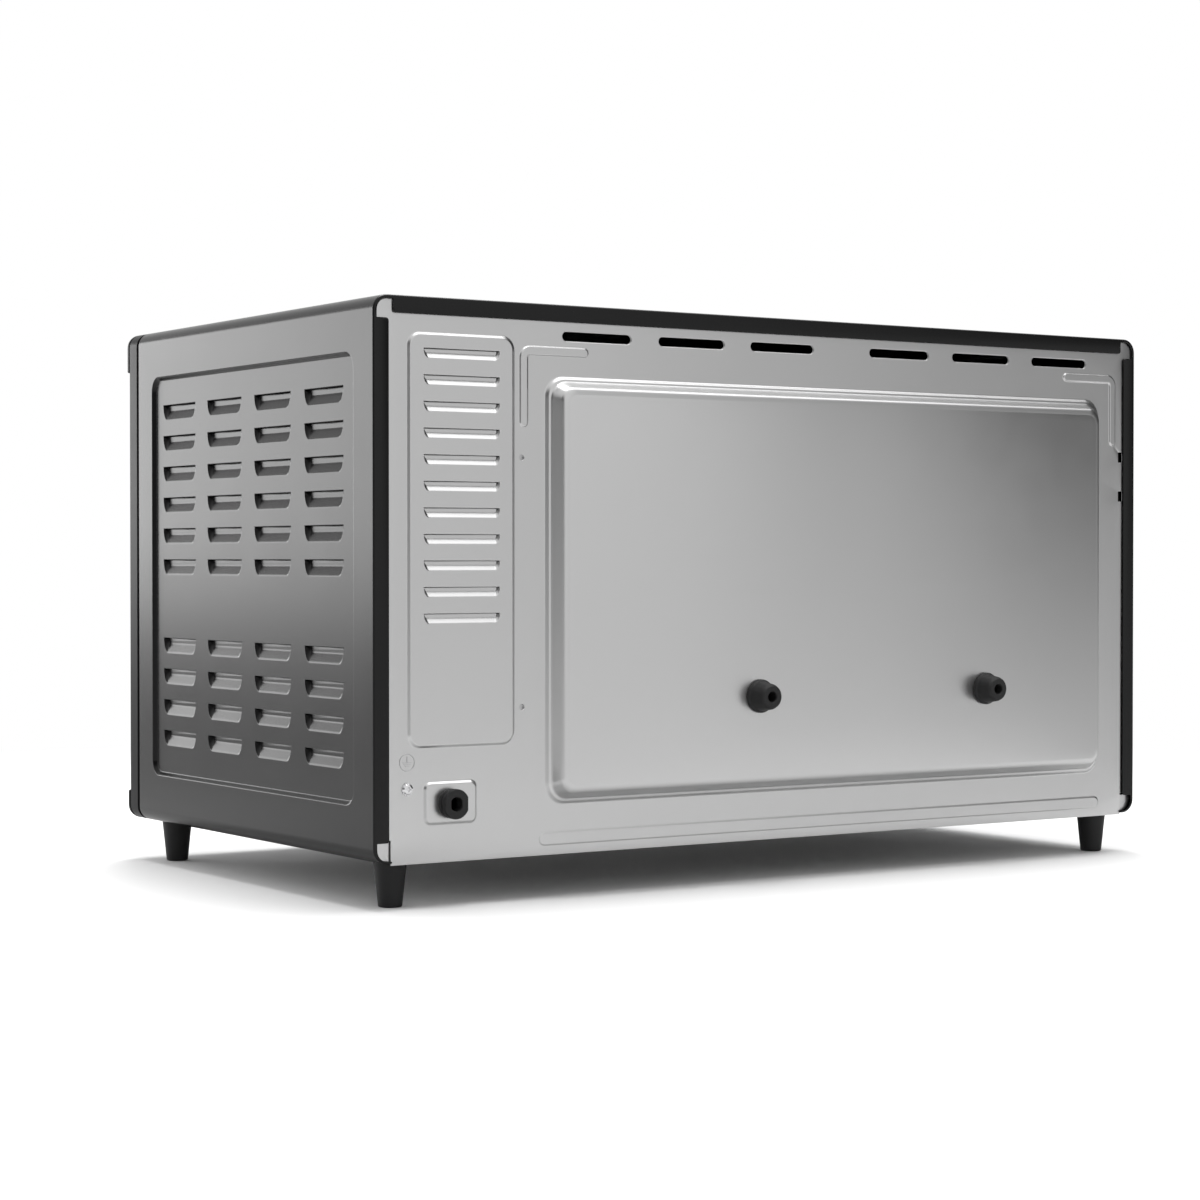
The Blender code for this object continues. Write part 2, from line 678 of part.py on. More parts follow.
def build_side_wall(name, side, steel):
    """A cavity wall with flanges turned away from the cavity at the front and the back, and a rack rib."""
    face = CAVITY_RIGHT if side > 0 else CAVITY_LEFT
    back = INNER_BACK_Y
    front = WALL_FRONT_Y
    sheet = side * SHEET
    reach = side * WALL_FLANGE
    plan = [(face, front), (face + reach, front), (face + reach, front + SHEET)]
    plan += [(face + sheet, front + SHEET), (face + sheet, back - SHEET), (face + reach, back - SHEET)]
    plan += [(face + reach, back), (face, back)]
    bm = bmesh.new()
    prism(bm, plan, "Z", BASE_Z + BASE_FLANGE_HEIGHT + GAP, CAVITY_TOP - SHEET - GAP)
    wall = mesh_object(name, bm, steel)
    xs = sorted((face + side * FOLD_STEP, face + sheet - side * FOLD_STEP))
    bm = bmesh.new()
    skirt_top = BASE_Z + BASE_FLANGE_HEIGHT + 3 * SHEET
    box(bm, (xs[0], front + FOLD_STEP, BASE_TOP + GAP), (xs[1], back - 2 * SHEET, skirt_top))
    rib = sorted((face - side * RIB_DEPTH, face + sheet / 2))
    low = (rib[0], front + 3 * SHEET, BASE_Z + RACK_RIB_Z)
    box(bm, low, (rib[1], back - 3 * SHEET, RIB_TOP))
    boolean(wall, "UNION", bm)
    return wall


def cut_wall_holes(wall):
    """Holes in the right wall for the element bushings and the thermostat's sensor."""
    bm = bmesh.new()
    radius = BUSHING_RADIUS + GAP
    for y in (LEG_FRONT_Y, LEG_BACK_Y):
        for z in (UPPER_ELEMENT_Z, BASE_Z + LOWER_ELEMENT_Z):
            centre = (CAVITY_RIGHT - 2 * SHEET, y, z)
            turned(bm, [(radius, 0), (radius, 5 * SHEET)], centre, "X", 16)
    start = sensor_path()[2]
    radius = SENSOR_RADIUS + SHEET
    centre = (CAVITY_RIGHT - 2 * SHEET, start[1], start[2])
    turned(bm, [(radius, 0), (radius, 5 * SHEET)], centre, "X", 12)
    boolean(wall, "DIFFERENCE", bm)


def build_cavity_top(steel):
    left = CAVITY_LEFT - ROOF_OVERHANG
    right = CAVITY_RIGHT + ROOF_OVERHANG
    rear = CAVITY_TOP + ROOF_BACK_FLANGE
    brow = CAVITY_TOP + ROOF_FRONT_FLANGE
    profile = [(WALL_FRONT_Y, CAVITY_TOP - SHEET), (INNER_BACK_Y, CAVITY_TOP - SHEET)]
    profile += [(INNER_BACK_Y, rear), (INNER_BACK_Y - SHEET, rear)]
    profile += [(INNER_BACK_Y - SHEET, CAVITY_TOP), (WALL_FRONT_Y + SHEET, CAVITY_TOP)]
    profile += [(WALL_FRONT_Y + SHEET, brow), (WALL_FRONT_Y, brow)]
    bm = bmesh.new()
    prism(bm, profile, "X", left, right)
    mesh_object("cavity_top", bm, steel)


def hairpin(z):
    """The path of a U-shaped heating element, both ends in the control bay."""
    r = ELEMENT_BEND
    front = [(ELEMENT_RIGHT, LEG_FRONT_Y), (CAVITY_X, LEG_FRONT_Y)]
    turn = [(u, v) for u, v in reversed(arc(ELEMENT_LEFT + r, LEG_FRONT_Y + r, r, 180, 270, 5))]
    turn += [(u, v) for u, v in reversed(arc(ELEMENT_LEFT + r, LEG_BACK_Y - r, r, 90, 180, 5))]
    back = [(CAVITY_X, LEG_BACK_Y), (ELEMENT_RIGHT, LEG_BACK_Y)]
    return [(x, y, z) for x, y in front + turn + back]


def build_elements(sheath, ceramic, steel):
    heights = {"upper": UPPER_ELEMENT_Z, "lower": BASE_Z + LOWER_ELEMENT_Z}
    bore = ELEMENT_RADIUS + GAP
    for name, z in heights.items():
        bm = bmesh.new()
        swept(bm, hairpin(z), ELEMENT_RADIUS, 10)
        mesh_object(f"{name}_heating_element", bm, sheath, smooth=True)
        for place, y in (("front", LEG_FRONT_Y), ("back", LEG_BACK_Y)):
            bm = bmesh.new()
            neck = BUSHING_RADIUS
            flange_near = SHEET + GAP
            flange_far = flange_near + BUSHING_FLANGE_DEPTH
            spool = [(bore, -BUSHING_NOSE), (neck, -BUSHING_NOSE), (neck, flange_near)]
            spool += [(BUSHING_FLANGE, flange_near), (BUSHING_FLANGE, flange_far), (bore, flange_far)]
            turned(bm, spool, (CAVITY_RIGHT, y, z), "X", 16, hollow=True)
            mesh_object(f"{name}_{place}_bushing", bm, ceramic, smooth=True)
        bm = bmesh.new()
        middle = (LEG_FRONT_Y + LEG_BACK_Y) / 2
        low = (CAVITY_LEFT + GAP, middle - SHEET, z - CLIP_REACH)
        box(bm, low, (ELEMENT_LEFT + CLIP_REACH, middle + SHEET, z + CLIP_REACH))
        clip = mesh_object(f"{name}_element_clip", bm, steel)
        bm = bmesh.new()
        turned(bm, [(bore, -3 * SHEET), (bore, 3 * SHEET)], (ELEMENT_LEFT, middle, z), "Y", 12)
        boolean(clip, "DIFFERENCE", bm)


def build_control_panel(paint):
    bm = bmesh.new()
    low = (PANEL_LEFT + GAP, FACIA_FRONT, OPENING_BOTTOM + GAP)
    box(bm, low, (PANEL_RIGHT - GAP, FACIA_FRONT + PANEL_THICKNESS, OPENING_TOP - GAP))
    panel = mesh_object("control_panel", bm, paint)
    bm = bmesh.new()
    radius = SHAFT_RADIUS + SHAFT_CLEARANCE
    for z in KNOB_Z:
        centre = (CONTROL_X, FACIA_FRONT - SHEET, z)
        turned(bm, [(radius, 0), (radius, PANEL_THICKNESS + 2 * SHEET)], centre, "Y", 16)
    centre = (CONTROL_X, FACIA_FRONT - SHEET, LENS_Z)
    radius = LENS_RADIUS + GAP
    turned(bm, [(radius, 0), (radius, PANEL_THICKNESS + 2 * SHEET)], centre, "Y", 16)
    boolean(panel, "DIFFERENCE", bm)


def build_knob(name, centre_z, plastic, steel):
    """A knob with a grip bar across its face, pushed on a shaft that turns with it."""
    pivot = (CONTROL_X, FACIA_FRONT, centre_z)
    back = -2 * GAP
    bore = SHAFT_RADIUS + GAP
    skirt = [(KNOB_RADIUS, back), (KNOB_RADIUS, back - 0.005), (KNOB_RADIUS - 0.0015, back - 0.0065)]
    skirt += [(KNOB_RADIUS - 0.003, back - 0.012), (KNOB_RADIUS - 0.0045, back - 0.0135)]
    bm = bmesh.new()
    turned(bm, skirt, pivot, "Y", 32)
    knob = mesh_object(f"{name}_knob", bm, plastic, pivot, smooth=True)
    bm = bmesh.new()
    half = KNOB_RADIUS - 0.0025
    x, y, z = pivot
    grip = KNOB_GRIP / 2
    box(bm, (x - grip, y + back - KNOB_DEPTH, z - half), (x + grip, y + back - grip, z + half))
    boolean(knob, "UNION", bm)
    bm = bmesh.new()
    turned(bm, [(bore, SHEET), (bore, back - 0.012)], pivot, "Y", 16)
    boolean(knob, "DIFFERENCE", bm)
    bm = bmesh.new()
    shaft_back = PANEL_THICKNESS + GAP
    profile = [(SHAFT_RADIUS, shaft_back), (SHAFT_RADIUS, back - 0.012 + GAP)]
    turned(bm, profile, pivot, "Y", 16)
    mesh_object(f"{name}_shaft", bm, steel, pivot, smooth=True)


def build_control_bodies(plastic, steel, brass):
    """The thermostat, the heat selector and the timer behind the control panel."""
    y0 = FACIA_FRONT + PANEL_THICKNESS + 2 * GAP
    half = CONTROL_BODY / 2
    names = ("thermostat_body", "function_switch", "timer_body")
    for name, z, slim in zip(names, KNOB_Z, CONTROL_BODY_SLIM):
        bm = bmesh.new()
        outline = rounded(CONTROL_X - half + slim, CONTROL_X + half - slim, z - half, z + half, 0.004, 2)
        prism(bm, outline, "Y", y0, y0 + CONTROL_BODY_DEPTH)
        mesh_object(name, bm, steel if name == "thermostat_body" else plastic)
    bm = bmesh.new()
    start = y0 + CONTROL_BODY_DEPTH + GAP
    dome = [(0.004, 0), (0.004, 0.003), (0.015, 0.003), (0.015, 0.006), (0.012, 0.010), (0.005, 0.0115)]
    turned(bm, dome, (CONTROL_X, start, KNOB_Z[2]), "Y", 20)
    mesh_object("timer_bell", bm, brass, smooth=True)


def sensor_path():
    """The thermostat's capillary leaves the body, passes the cavity wall and ends in a straight bulb."""
    y = FACIA_FRONT + PANEL_THICKNESS + CONTROL_BODY_DEPTH
    z = KNOB_Z[0] - SENSOR_DROP
    x = CAVITY_RIGHT
    return [
        (CONTROL_X - 0.006, y - 0.010, z),
        (x + 0.020, y - 0.006, z),
        (x + 0.010, y + 0.010, z),
        (x - 0.003, y + 0.010, z),
        (x - 0.006, y + 0.014, z),
        (x - 0.006, y + 0.014 + SENSOR_BULB_LENGTH, z),
    ]


def build_sensor(copper):
    bm = bmesh.new()
    swept(bm, sensor_path(), SENSOR_RADIUS, 8)
    mesh_object("thermostat_sensor", bm, copper, smooth=True)


def build_lamp(red, glass):
    """A round jewel in the control panel with its lamp behind."""
    centre = (CONTROL_X, FACIA_FRONT, LENS_Z)
    bm = bmesh.new()
    rim = LENS_RADIUS + 0.001
    jewel = [(LENS_RADIUS, PANEL_THICKNESS), (LENS_RADIUS, -GAP), (rim, -GAP), (rim, -0.001)]
    jewel += [(LENS_RADIUS * 0.6, -0.002)]
    turned(bm, jewel, centre, "Y", 16)
    mesh_object("indicator_lens", bm, red, smooth=True)
    bm = bmesh.new()
    start = PANEL_THICKNESS + GAP
    lamp = [(0.0028, start), (0.0028, start + 0.014), (0.0015, start + 0.016)]
    turned(bm, lamp, centre, "Y", 12)
    mesh_object("indicator_lamp", bm, glass, smooth=True)


def build_wiring(plastic, insulation):
    """The terminal block inside the gland and the loom that climbs to the controls."""
    bm = bmesh.new()
    back = INNER_BACK_Y - TERMINAL_BACK_INSET
    z = BASE_Z + GLAND_Z
    half = TERMINAL_BLOCK / 2
    low = (GLAND_X - TERMINAL_LENGTH / 2, back - TERMINAL_BLOCK, z - half)
    box(bm, low, (GLAND_X + TERMINAL_LENGTH / 2, back, z + half))
    mesh_object("terminal_block", bm, plastic)
    front = FACIA_FRONT + PANEL_THICKNESS + CONTROL_BODY_DEPTH + 0.006
    route = [
        (GLAND_X, back - 0.023, z + 0.004),
        (GLAND_X, back - 0.050, z + 0.010),
        (GLAND_X - 0.004, back - 0.090, z + 0.034),
        (GLAND_X - 0.006, (back + front) / 2, z + 0.070),
        (CONTROL_X + 0.004, front + 0.060, z + 0.100),
        (CONTROL_X, front + 0.020, KNOB_Z[1] - 0.002),
        (CONTROL_X, front, KNOB_Z[1]),
    ]
    bm = bmesh.new()
    swept(bm, route, LOOM_RADIUS, 8)
    mesh_object("wiring_harness", bm, insulation, smooth=True)


def build_gland(plastic):
    """A grommet through the back panel; the supply cord would pass its bore."""
    centre = (GLAND_X, PANEL_Y, BASE_Z + GLAND_Z)
    seat = PRESSING_OUT + GAP
    neck = GLAND_RADIUS - GLAND_NECK_STEP
    inner = -GLAND_NECK_LENGTH
    profile = [(GLAND_BORE_RADIUS, GLAND_OUT), (GLAND_BORE_RADIUS, inner), (neck, inner)]
    profile += [(neck, seat), (GLAND_FLANGE_RADIUS, seat), (GLAND_FLANGE_RADIUS, seat + 0.0012)]
    profile += [(GLAND_RADIUS, seat + 0.0016), (GLAND_RADIUS, GLAND_OUT - 0.0006)]
    profile += [(GLAND_RADIUS - 0.0006, GLAND_OUT)]
    bm = bmesh.new()
    turned(bm, profile, centre, "Y", 24, hollow=True)
    mesh_object("cord_gland", bm, plastic, smooth=True)


def build_earth_screw(steel):
    centre = (HALF_WIDTH - EARTH_SIDE_MARGIN, PANEL_Y + GAP, BASE_Z + EARTH_Z)
    r = EARTH_RADIUS
    bm = bmesh.new()
    head = [(r, 0), (r, 0.0010), (r * 0.85, 0.0018), (r * 0.5, 0.0022)]
    turned(bm, head, centre, "Y", 20)
    screw = mesh_object("earth_screw", bm, steel, smooth=True)
    bm = bmesh.new()
    x, y, z = centre
    a, b = 0.0005, 0.0021
    cross = [(-a, -b), (a, -b), (a, -a), (b, -a), (b, a), (a, a)]
    cross += [(a, b), (-a, b), (-a, a), (-b, a), (-b, -a), (-a, -a)]
    prism(bm, [(x + u, z + v) for u, v in cross], "Y", y + 0.0013, y + 0.004)
    boolean(screw, "DIFFERENCE", bm)


def build_bumpers(rubber):
    """Two hollow stand-offs that keep the hot back off a wall."""
    for name, offset in zip(("right", "left"), BUMPER_OFFSETS):
        centre = (CAVITY_X + offset, BUMPER_Y, BASE_Z + BUMPER_Z)
        tip = BUMPER_TIP_RADIUS
        hole = BUMPER_HOLE_RADIUS
        profile = [(BUMPER_RADIUS, 0), (BUMPER_RADIUS, 0.0022), (BUMPER_RADIUS - 0.0004, 0.003)]
        profile += [(tip + 0.0006, BUMPER_LENGTH - 0.001), (tip, BUMPER_LENGTH), (hole, BUMPER_LENGTH)]
        profile += [(hole, 0.003)]
        bm = bmesh.new()
        turned(bm, profile, centre, "Y", 24)
        mesh_object(f"rear_bumper_{name}", bm, rubber, smooth=True)


def build_feet(rubber):
    top = FOOT_HEIGHT - GAP
    tip = FOOT_TIP_RADIUS
    profile = [(tip - 0.0008, 0), (tip, 0.0008), (FOOT_TOP_RADIUS, top - 0.0015), (FOOT_TOP_RADIUS, top)]
    rows = (("front", FRONT_Y + FOOT_FRONT_INSET), ("back", BACK_Y - FOOT_BACK_INSET))
    for row, y in rows:
        for side, sign in (("left", -1), ("right", 1)):
            bm = bmesh.new()
            turned(bm, profile, (sign * (HALF_WIDTH - FOOT_SIDE_INSET), y, 0), "Z", 20)
            mesh_object(f"foot_{row}_{side}", bm, rubber, smooth=True)


def door_glass_edges():
    return (
        DOOR_LEFT + DOOR_SIDE_RAIL,
        DOOR_RIGHT - DOOR_SIDE_RAIL,
        HINGE_Z - DOOR_THICKNESS / 2 + DOOR_BOTTOM_RAIL,
        DOOR_TOP - DOOR_TOP_RAIL,
    )


def build_door(paint, glass, steel):
    """The door frame is rounded about the hinge line at its foot; glass and retainer sit in its back."""
    pivot = (DOOR_X, HINGE_Y, HINGE_Z)
    half = DOOR_THICKNESS / 2
    profile = arc(HINGE_Y, HINGE_Z, half, 180, 360, 8) + [(DOOR_BACK, DOOR_TOP), (DOOR_FRONT, DOOR_TOP)]
    bm = bmesh.new()
    prism(bm, profile, "X", DOOR_LEFT, DOOR_RIGHT)
    frame = mesh_object("door_frame", bm, paint, pivot)
    left, right, low, high = door_glass_edges()
    lap = GLASS_LAP
    rebate_y = DOOR_FRONT + DOOR_SKIN
    cuts = ((0, DOOR_FRONT - SHEET, rebate_y + SHEET), (lap, rebate_y, DOOR_BACK + SHEET))
    for margin, near, far in cuts:
        bm = bmesh.new()
        box(bm, (left - margin, near, low - margin), (right + margin, far, high + margin))
        boolean(frame, "DIFFERENCE", bm)
    boolean(frame, "DIFFERENCE", door_pin_bores())
    fit = 2 * GAP
    glass_front = rebate_y + GAP
    glass_back = glass_front + GLASS_THICKNESS
    bm = bmesh.new()
    lo = (left - lap + fit, glass_front, low - lap + fit)
    box(bm, lo, (right + lap - fit, glass_back, high + lap - fit))
    mesh_object("door_glass", bm, glass, pivot)
    build_retainer(steel, pivot, glass_back + GAP)


def build_retainer(steel, pivot, front):
    """A sheet ring that clamps the glass into the door frame."""
    left, right, low, high = door_glass_edges()
    out = GLASS_LAP - 2 * GAP
    into = RETAINER_WIDTH - GLASS_LAP
    bm = bmesh.new()
    box(bm, (left - out, front, low - out), (right + out, front + 2 * SHEET, high + out))
    ring = mesh_object("door_glass_retainer", bm, steel, pivot)
    bm = bmesh.new()
    lo = (left + into, front - SHEET, low + into)
    box(bm, lo, (right - into, front + 3 * SHEET, high - into))
    boolean(ring, "DIFFERENCE", bm)


def door_pin_bores():
    bm = bmesh.new()
    radius = PIN_RADIUS + GAP
    for x, side in ((DOOR_LEFT, 1), (DOOR_RIGHT, -1)):
        profile = [(radius, -side * SHEET), (radius, side * (PIN_IN_DOOR + GAP))]
        turned(bm, profile, (x, HINGE_Y, HINGE_Z), "X", 16)
    return bm


def build_hinge_pins(steel):
    spans = {
        "left": (OPENING_LEFT - PIN_IN_FRAME, DOOR_LEFT + PIN_IN_DOOR),
        "right": (DOOR_RIGHT - PIN_IN_DOOR, OPENING_RIGHT + right_pin_depth()),
    }
    for name, (start, end) in spans.items():
        bm = bmesh.new()
        centre = (start, HINGE_Y, HINGE_Z)
        turned(bm, [(PIN_RADIUS, 0), (PIN_RADIUS, end - start)], centre, "X", 16)
        mesh_object(f"door_hinge_pin_{name}", bm, steel, (0, HINGE_Y, HINGE_Z), smooth=True)


def build_handle(metal):
    """A full-width bar on two posts."""
    pivot = (DOOR_X, HINGE_Y, HINGE_Z)
    z = DOOR_TOP - HANDLE_TOP_DROP
    bar_front = DOOR_FRONT - HANDLE_REACH
    bar_back = bar_front + HANDLE_BAR_DEPTH
    left = DOOR_LEFT + POST_INSET - HANDLE_OVERHANG
    right = DOOR_RIGHT - POST_INSET + HANDLE_OVERHANG
    half = HANDLE_BAR_HEIGHT / 2
    bm = bmesh.new()
    prism(bm, rounded(bar_front, bar_back, z - half, z + half, 0.0045), "X", left, right)
    mesh_object("handle_bar", bm, metal, pivot, smooth=True)
    for name, x in (("left", DOOR_LEFT + POST_INSET), ("right", DOOR_RIGHT - POST_INSET)):
        bm = bmesh.new()
        start = bar_back + GAP
        length = DOOR_FRONT - GAP - start
        profile = [(POST_RADIUS, 0), (POST_RADIUS, length - 0.003)]
        profile += [(POST_RADIUS + 0.0015, length - 0.001), (POST_RADIUS + 0.0015, length)]
        turned(bm, profile, (x, start, z), "Y", 20)
        mesh_object(f"handle_post_{name}", bm, metal, pivot, smooth=True)


def build_rack(wire):
    """A rectangle of thick wire with thinner wires laid across it, all welded."""
    left = CAVITY_LEFT + RACK_SIDE_CLEARANCE + RACK_WIRE
    right = CAVITY_RIGHT - RACK_SIDE_CLEARANCE - RACK_WIRE
    front = WALL_FRONT_Y + RACK_FRONT_INSET
    back = INNER_BACK_Y - RACK_BACK_INSET
    outline = rounded(left, right, front, back, RACK_CORNER, 3)
    points = [(x, y, RACK_Z) for x, y in outline]
    bm = bmesh.new()
    closed_wire(bm, points, RACK_WIRE, 8)
    rack = mesh_object("wire_rack", bm, wire, smooth=True)
    bm = bmesh.new()
    pitch = (right - left) / (CROSS_WIRES + 1)
    for i in range(CROSS_WIRES):
        x = left + pitch * (i + 1)
        ends = (front - CROSS_OVERHANG, back + CROSS_OVERHANG)
        bar(bm, (x, ends[0], CROSS_Z), (x, ends[1], CROSS_Z), CROSS_WIRE, 6)
    middle = (front + back) / 2
    brace_z = CROSS_Z - CROSS_WIRE
    bar(bm, (left, middle, brace_z), (right, middle, brace_z), CROSS_WIRE * 1.1, 6)
    boolean(rack, "UNION", bm)


def closed_wire(bm, points, radius, sides):
    """A round wire along a closed level loop."""
    rings = []
    count = len(points)
    for i, point in enumerate(points):
        ahead = Vector(points[(i + 1) % count]) - Vector(points[i - 1])
        ahead.normalize()
        out = Vector((ahead.y, -ahead.x, 0))
        turn = [2 * math.pi * (k + 0.5) / sides for k in range(sides)]
        spread = [(radius * math.cos(a), radius * math.sin(a)) for a in turn]
        rings.append([Vector(point) + out * u + Vector((0, 0, v)) for u, v in spread])
    made = [add_ring(bm, ring) for ring in rings]
    for ring_a, ring_b in zip(made, made[1:] + made[:1]):
        bridge(bm, ring_a, ring_b)


def pan(bm, low, high, flare, sheet):
    """An open tray with sloping walls: outer skin, rim and inner skin in one closed surface."""
    (x0, y0, z0), (x1, y1, z1) = low, high

    def ring(shrink, z):
        corner = TRAY_CORNER - shrink
        outline = rounded(x0 + shrink, x1 - shrink, y0 + shrink, y1 - shrink, corner, 3)
        return [(x, y, z) for x, y in outline]

    loft(bm, [ring(flare, z0), ring(0, z1), ring(sheet, z1), ring(flare + sheet, z0 + sheet)])


def build_baking_tray(enamel):
    left = CAVITY_LEFT + TRAY_INSET
    right = CAVITY_RIGHT - TRAY_INSET
    front = WALL_FRONT_Y + RACK_FRONT_INSET + TRAY_END_INSET
    back = INNER_BACK_Y - RACK_BACK_INSET - TRAY_END_INSET
    low = CROSS_Z + CROSS_WIRE + GAP
    bm = bmesh.new()
    pan(bm, (left, front, low), (right, back, low + TRAY_HEIGHT), TRAY_FLARE, TRAY_SHEET)
    mesh_object("baking_tray", bm, enamel)


def build_crumb_tray(steel):
    """The removable floor of the oven, pulled out under the door by its lip."""
    front = FRONT_Y - FRAME_DEPTH - TRIM_PROUD - GAP
    back = INNER_BACK_Y - 0.008
    bm = bmesh.new()
    pan(bm, (CRUMB_LEFT, front, CRUMB_BOTTOM), (CRUMB_RIGHT, back, CRUMB_TOP), 0.0006, TRAY_SHEET)
    tray = mesh_object("crumb_tray", bm, steel)
    bm = bmesh.new()
    low = (CRUMB_LEFT - CRUMB_LIP_SIDE, front - CRUMB_LIP, CRUMB_BOTTOM - CRUMB_LIP_DROP)
    high = (CRUMB_RIGHT + CRUMB_LIP_SIDE, front - FOLD_STEP / 2, CRUMB_TOP + CRUMB_LIP_RISE)
    box(bm, low, high)
    low = (CRUMB_LEFT + CRUMB_TAB_INSET, front - 2 * SHEET, CRUMB_BOTTOM + FOLD_STEP)
    box(bm, low, (CRUMB_RIGHT - CRUMB_TAB_INSET, front + 0.0012, CRUMB_TOP - 0.001))
    boolean(tray, "UNION", bm)


def build():
    clear_scene()
    paint = finish("painted_steel", (0.030, 0.030, 0.032), 0.32, 0.2)
    steel = finish("galvanised_steel", (0.56, 0.56, 0.56), 0.34, 0.9)
    cavity = finish("cavity_steel", (0.42, 0.42, 0.43), 0.38, 0.9)
    chrome = finish("chromed_wire", (0.75, 0.75, 0.76), 0.16, 1.0)
    black = finish("black_plastic", (0.022, 0.022, 0.023), 0.55, 0.0)
    rubber = finish("black_rubber", (0.020, 0.020, 0.020), 0.70, 0.0)
    glass = finish("tempered_glass", (0.10, 0.11, 0.11), 0.05, 0.0, 0.35)
    ceramic = finish("ceramic", (0.85, 0.82, 0.75), 0.55, 0.0)
    sheath = finish("element_sheath", (0.16, 0.14, 0.13), 0.50, 0.8)
    enamel = finish("tray_enamel", (0.045, 0.045, 0.048), 0.28, 0.1)
    brass = finish("brass", (0.72, 0.55, 0.25), 0.30, 1.0)
    red = finish("red_jewel", (0.60, 0.03, 0.02), 0.15, 0.0)
    build_wrap(paint)
    build_back_panel(steel)
    build_base(steel)
    build_front_frame(black)
    build_trims(black)
    build_side_wall("cavity_left_wall", -1, cavity)
    cut_wall_holes(build_side_wall("cavity_right_wall", 1, cavity))
    build_cavity_top(cavity)
    build_elements(sheath, ceramic, cavity)
    build_control_panel(black)
    for name, z in zip(("temperature", "function", "timer"), KNOB_Z):
        build_knob(name, z, black, cavity)
    build_control_bodies(black, cavity, brass)
    build_sensor(brass)
    build_lamp(red, glass)
    build_wiring(ceramic, rubber)
    build_gland(black)
    build_earth_screw(chrome)
    build_bumpers(rubber)
    build_feet(rubber)
    build_door(black, glass, cavity)
    build_hinge_pins(chrome)
    build_handle(chrome)
    build_rack(chrome)
    build_baking_tray(enamel)
    build_crumb_tray(steel)


build()
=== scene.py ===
"""Looks for the toaster oven: finer pressed sheet, mouldings, procedural materials, studio and camera."""
import json
import math

import bmesh
import bpy
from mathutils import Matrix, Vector

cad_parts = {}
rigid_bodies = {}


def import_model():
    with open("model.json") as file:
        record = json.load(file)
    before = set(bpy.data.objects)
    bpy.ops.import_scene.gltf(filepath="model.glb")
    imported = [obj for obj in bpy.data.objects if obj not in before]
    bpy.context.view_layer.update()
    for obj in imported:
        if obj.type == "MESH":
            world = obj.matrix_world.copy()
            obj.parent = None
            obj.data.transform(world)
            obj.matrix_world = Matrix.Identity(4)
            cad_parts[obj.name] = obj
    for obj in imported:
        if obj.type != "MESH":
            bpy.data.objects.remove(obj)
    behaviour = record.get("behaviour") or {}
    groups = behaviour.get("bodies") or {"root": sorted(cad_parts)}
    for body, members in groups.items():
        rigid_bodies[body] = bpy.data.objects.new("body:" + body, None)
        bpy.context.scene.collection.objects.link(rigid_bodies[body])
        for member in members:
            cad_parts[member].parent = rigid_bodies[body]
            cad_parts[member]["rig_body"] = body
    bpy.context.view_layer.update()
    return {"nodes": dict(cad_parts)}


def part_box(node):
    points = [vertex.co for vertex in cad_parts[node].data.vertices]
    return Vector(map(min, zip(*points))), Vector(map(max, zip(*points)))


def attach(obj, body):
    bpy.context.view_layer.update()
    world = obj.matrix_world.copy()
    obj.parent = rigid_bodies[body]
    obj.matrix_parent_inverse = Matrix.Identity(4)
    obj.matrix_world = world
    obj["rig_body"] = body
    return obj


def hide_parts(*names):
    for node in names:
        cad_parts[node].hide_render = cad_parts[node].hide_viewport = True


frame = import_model()
NODES = frame["nodes"]

# Places read from the frame
WRAP_LOW, WRAP_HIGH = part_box("outer_wrap")
PANEL_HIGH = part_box("rear_panel")[1]
FRAME_LOW, FRAME_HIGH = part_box("front_frame")
LEFT_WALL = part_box("cavity_left_wall")
RIGHT_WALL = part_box("cavity_right_wall")
BASE_Z = WRAP_LOW.z
TOP_Z = WRAP_HIGH.z
HALF_WIDTH = WRAP_HIGH.x
BACK_Y = WRAP_HIGH.y
FRONT_Y = WRAP_LOW.y

# Sheet metal
SHEET = 0.0006
HOLD = 0.0003
END_INSET = 0.0014
PANEL_SETBACK = 0.0013
PANEL_DROP = 0.0010
FOOT_STUB = 0.0010
PANEL_Y = BACK_Y - PANEL_SETBACK
CORNER_RADIUS = 0.0085
CORNER_STEPS = 10
FOLD_RADIUS = 0.0011
LIP_WIDTH = 0.0021
UNDER_RETURN = 0.0109
FLANGE_WIDTH = 0.0093
FLANGE_CORNER = 0.0016
TOP_FLANGE_HEIGHT = 0.0094
FLANGE_NOTCH = 0.0123
EAR_HEIGHT = 0.0111
EAR_GAP = 0.0012

# Side pressing and louvres
RECESS_BACK_MARGIN = 0.0222
RECESS_FRONT_MARGIN = 0.0201
RECESS_LOW_MARGIN = 0.0293
RECESS_TOP_MARGIN = 0.0287
RECESS_RADIUS = 0.009
RECESS_WALL = 0.0024
RECESS_DEPTH = 0.0022
LOUVRE_LENGTH = 0.0452
LOUVRE_PITCH_Y = 0.062
LOUVRE_FIELD_BACK = 0.0375
LOUVRE_FIELD_FRONT = 0.0315
LOUVRE_PITCH_Z = 0.0187
LOUVRE_TOP_ROWS = 6
LOUVRE_LOW_ROWS = 4
LOUVRE_TOP_MARGIN = 0.0462
LOUVRE_LOW_MARGIN = 0.0573
LOUVRE_HEIGHT = 0.0092
LOUVRE_DEPTH = 0.0026
LOUVRE_LAND = 0.0030
LOUVRE_TAPER = 0.0056

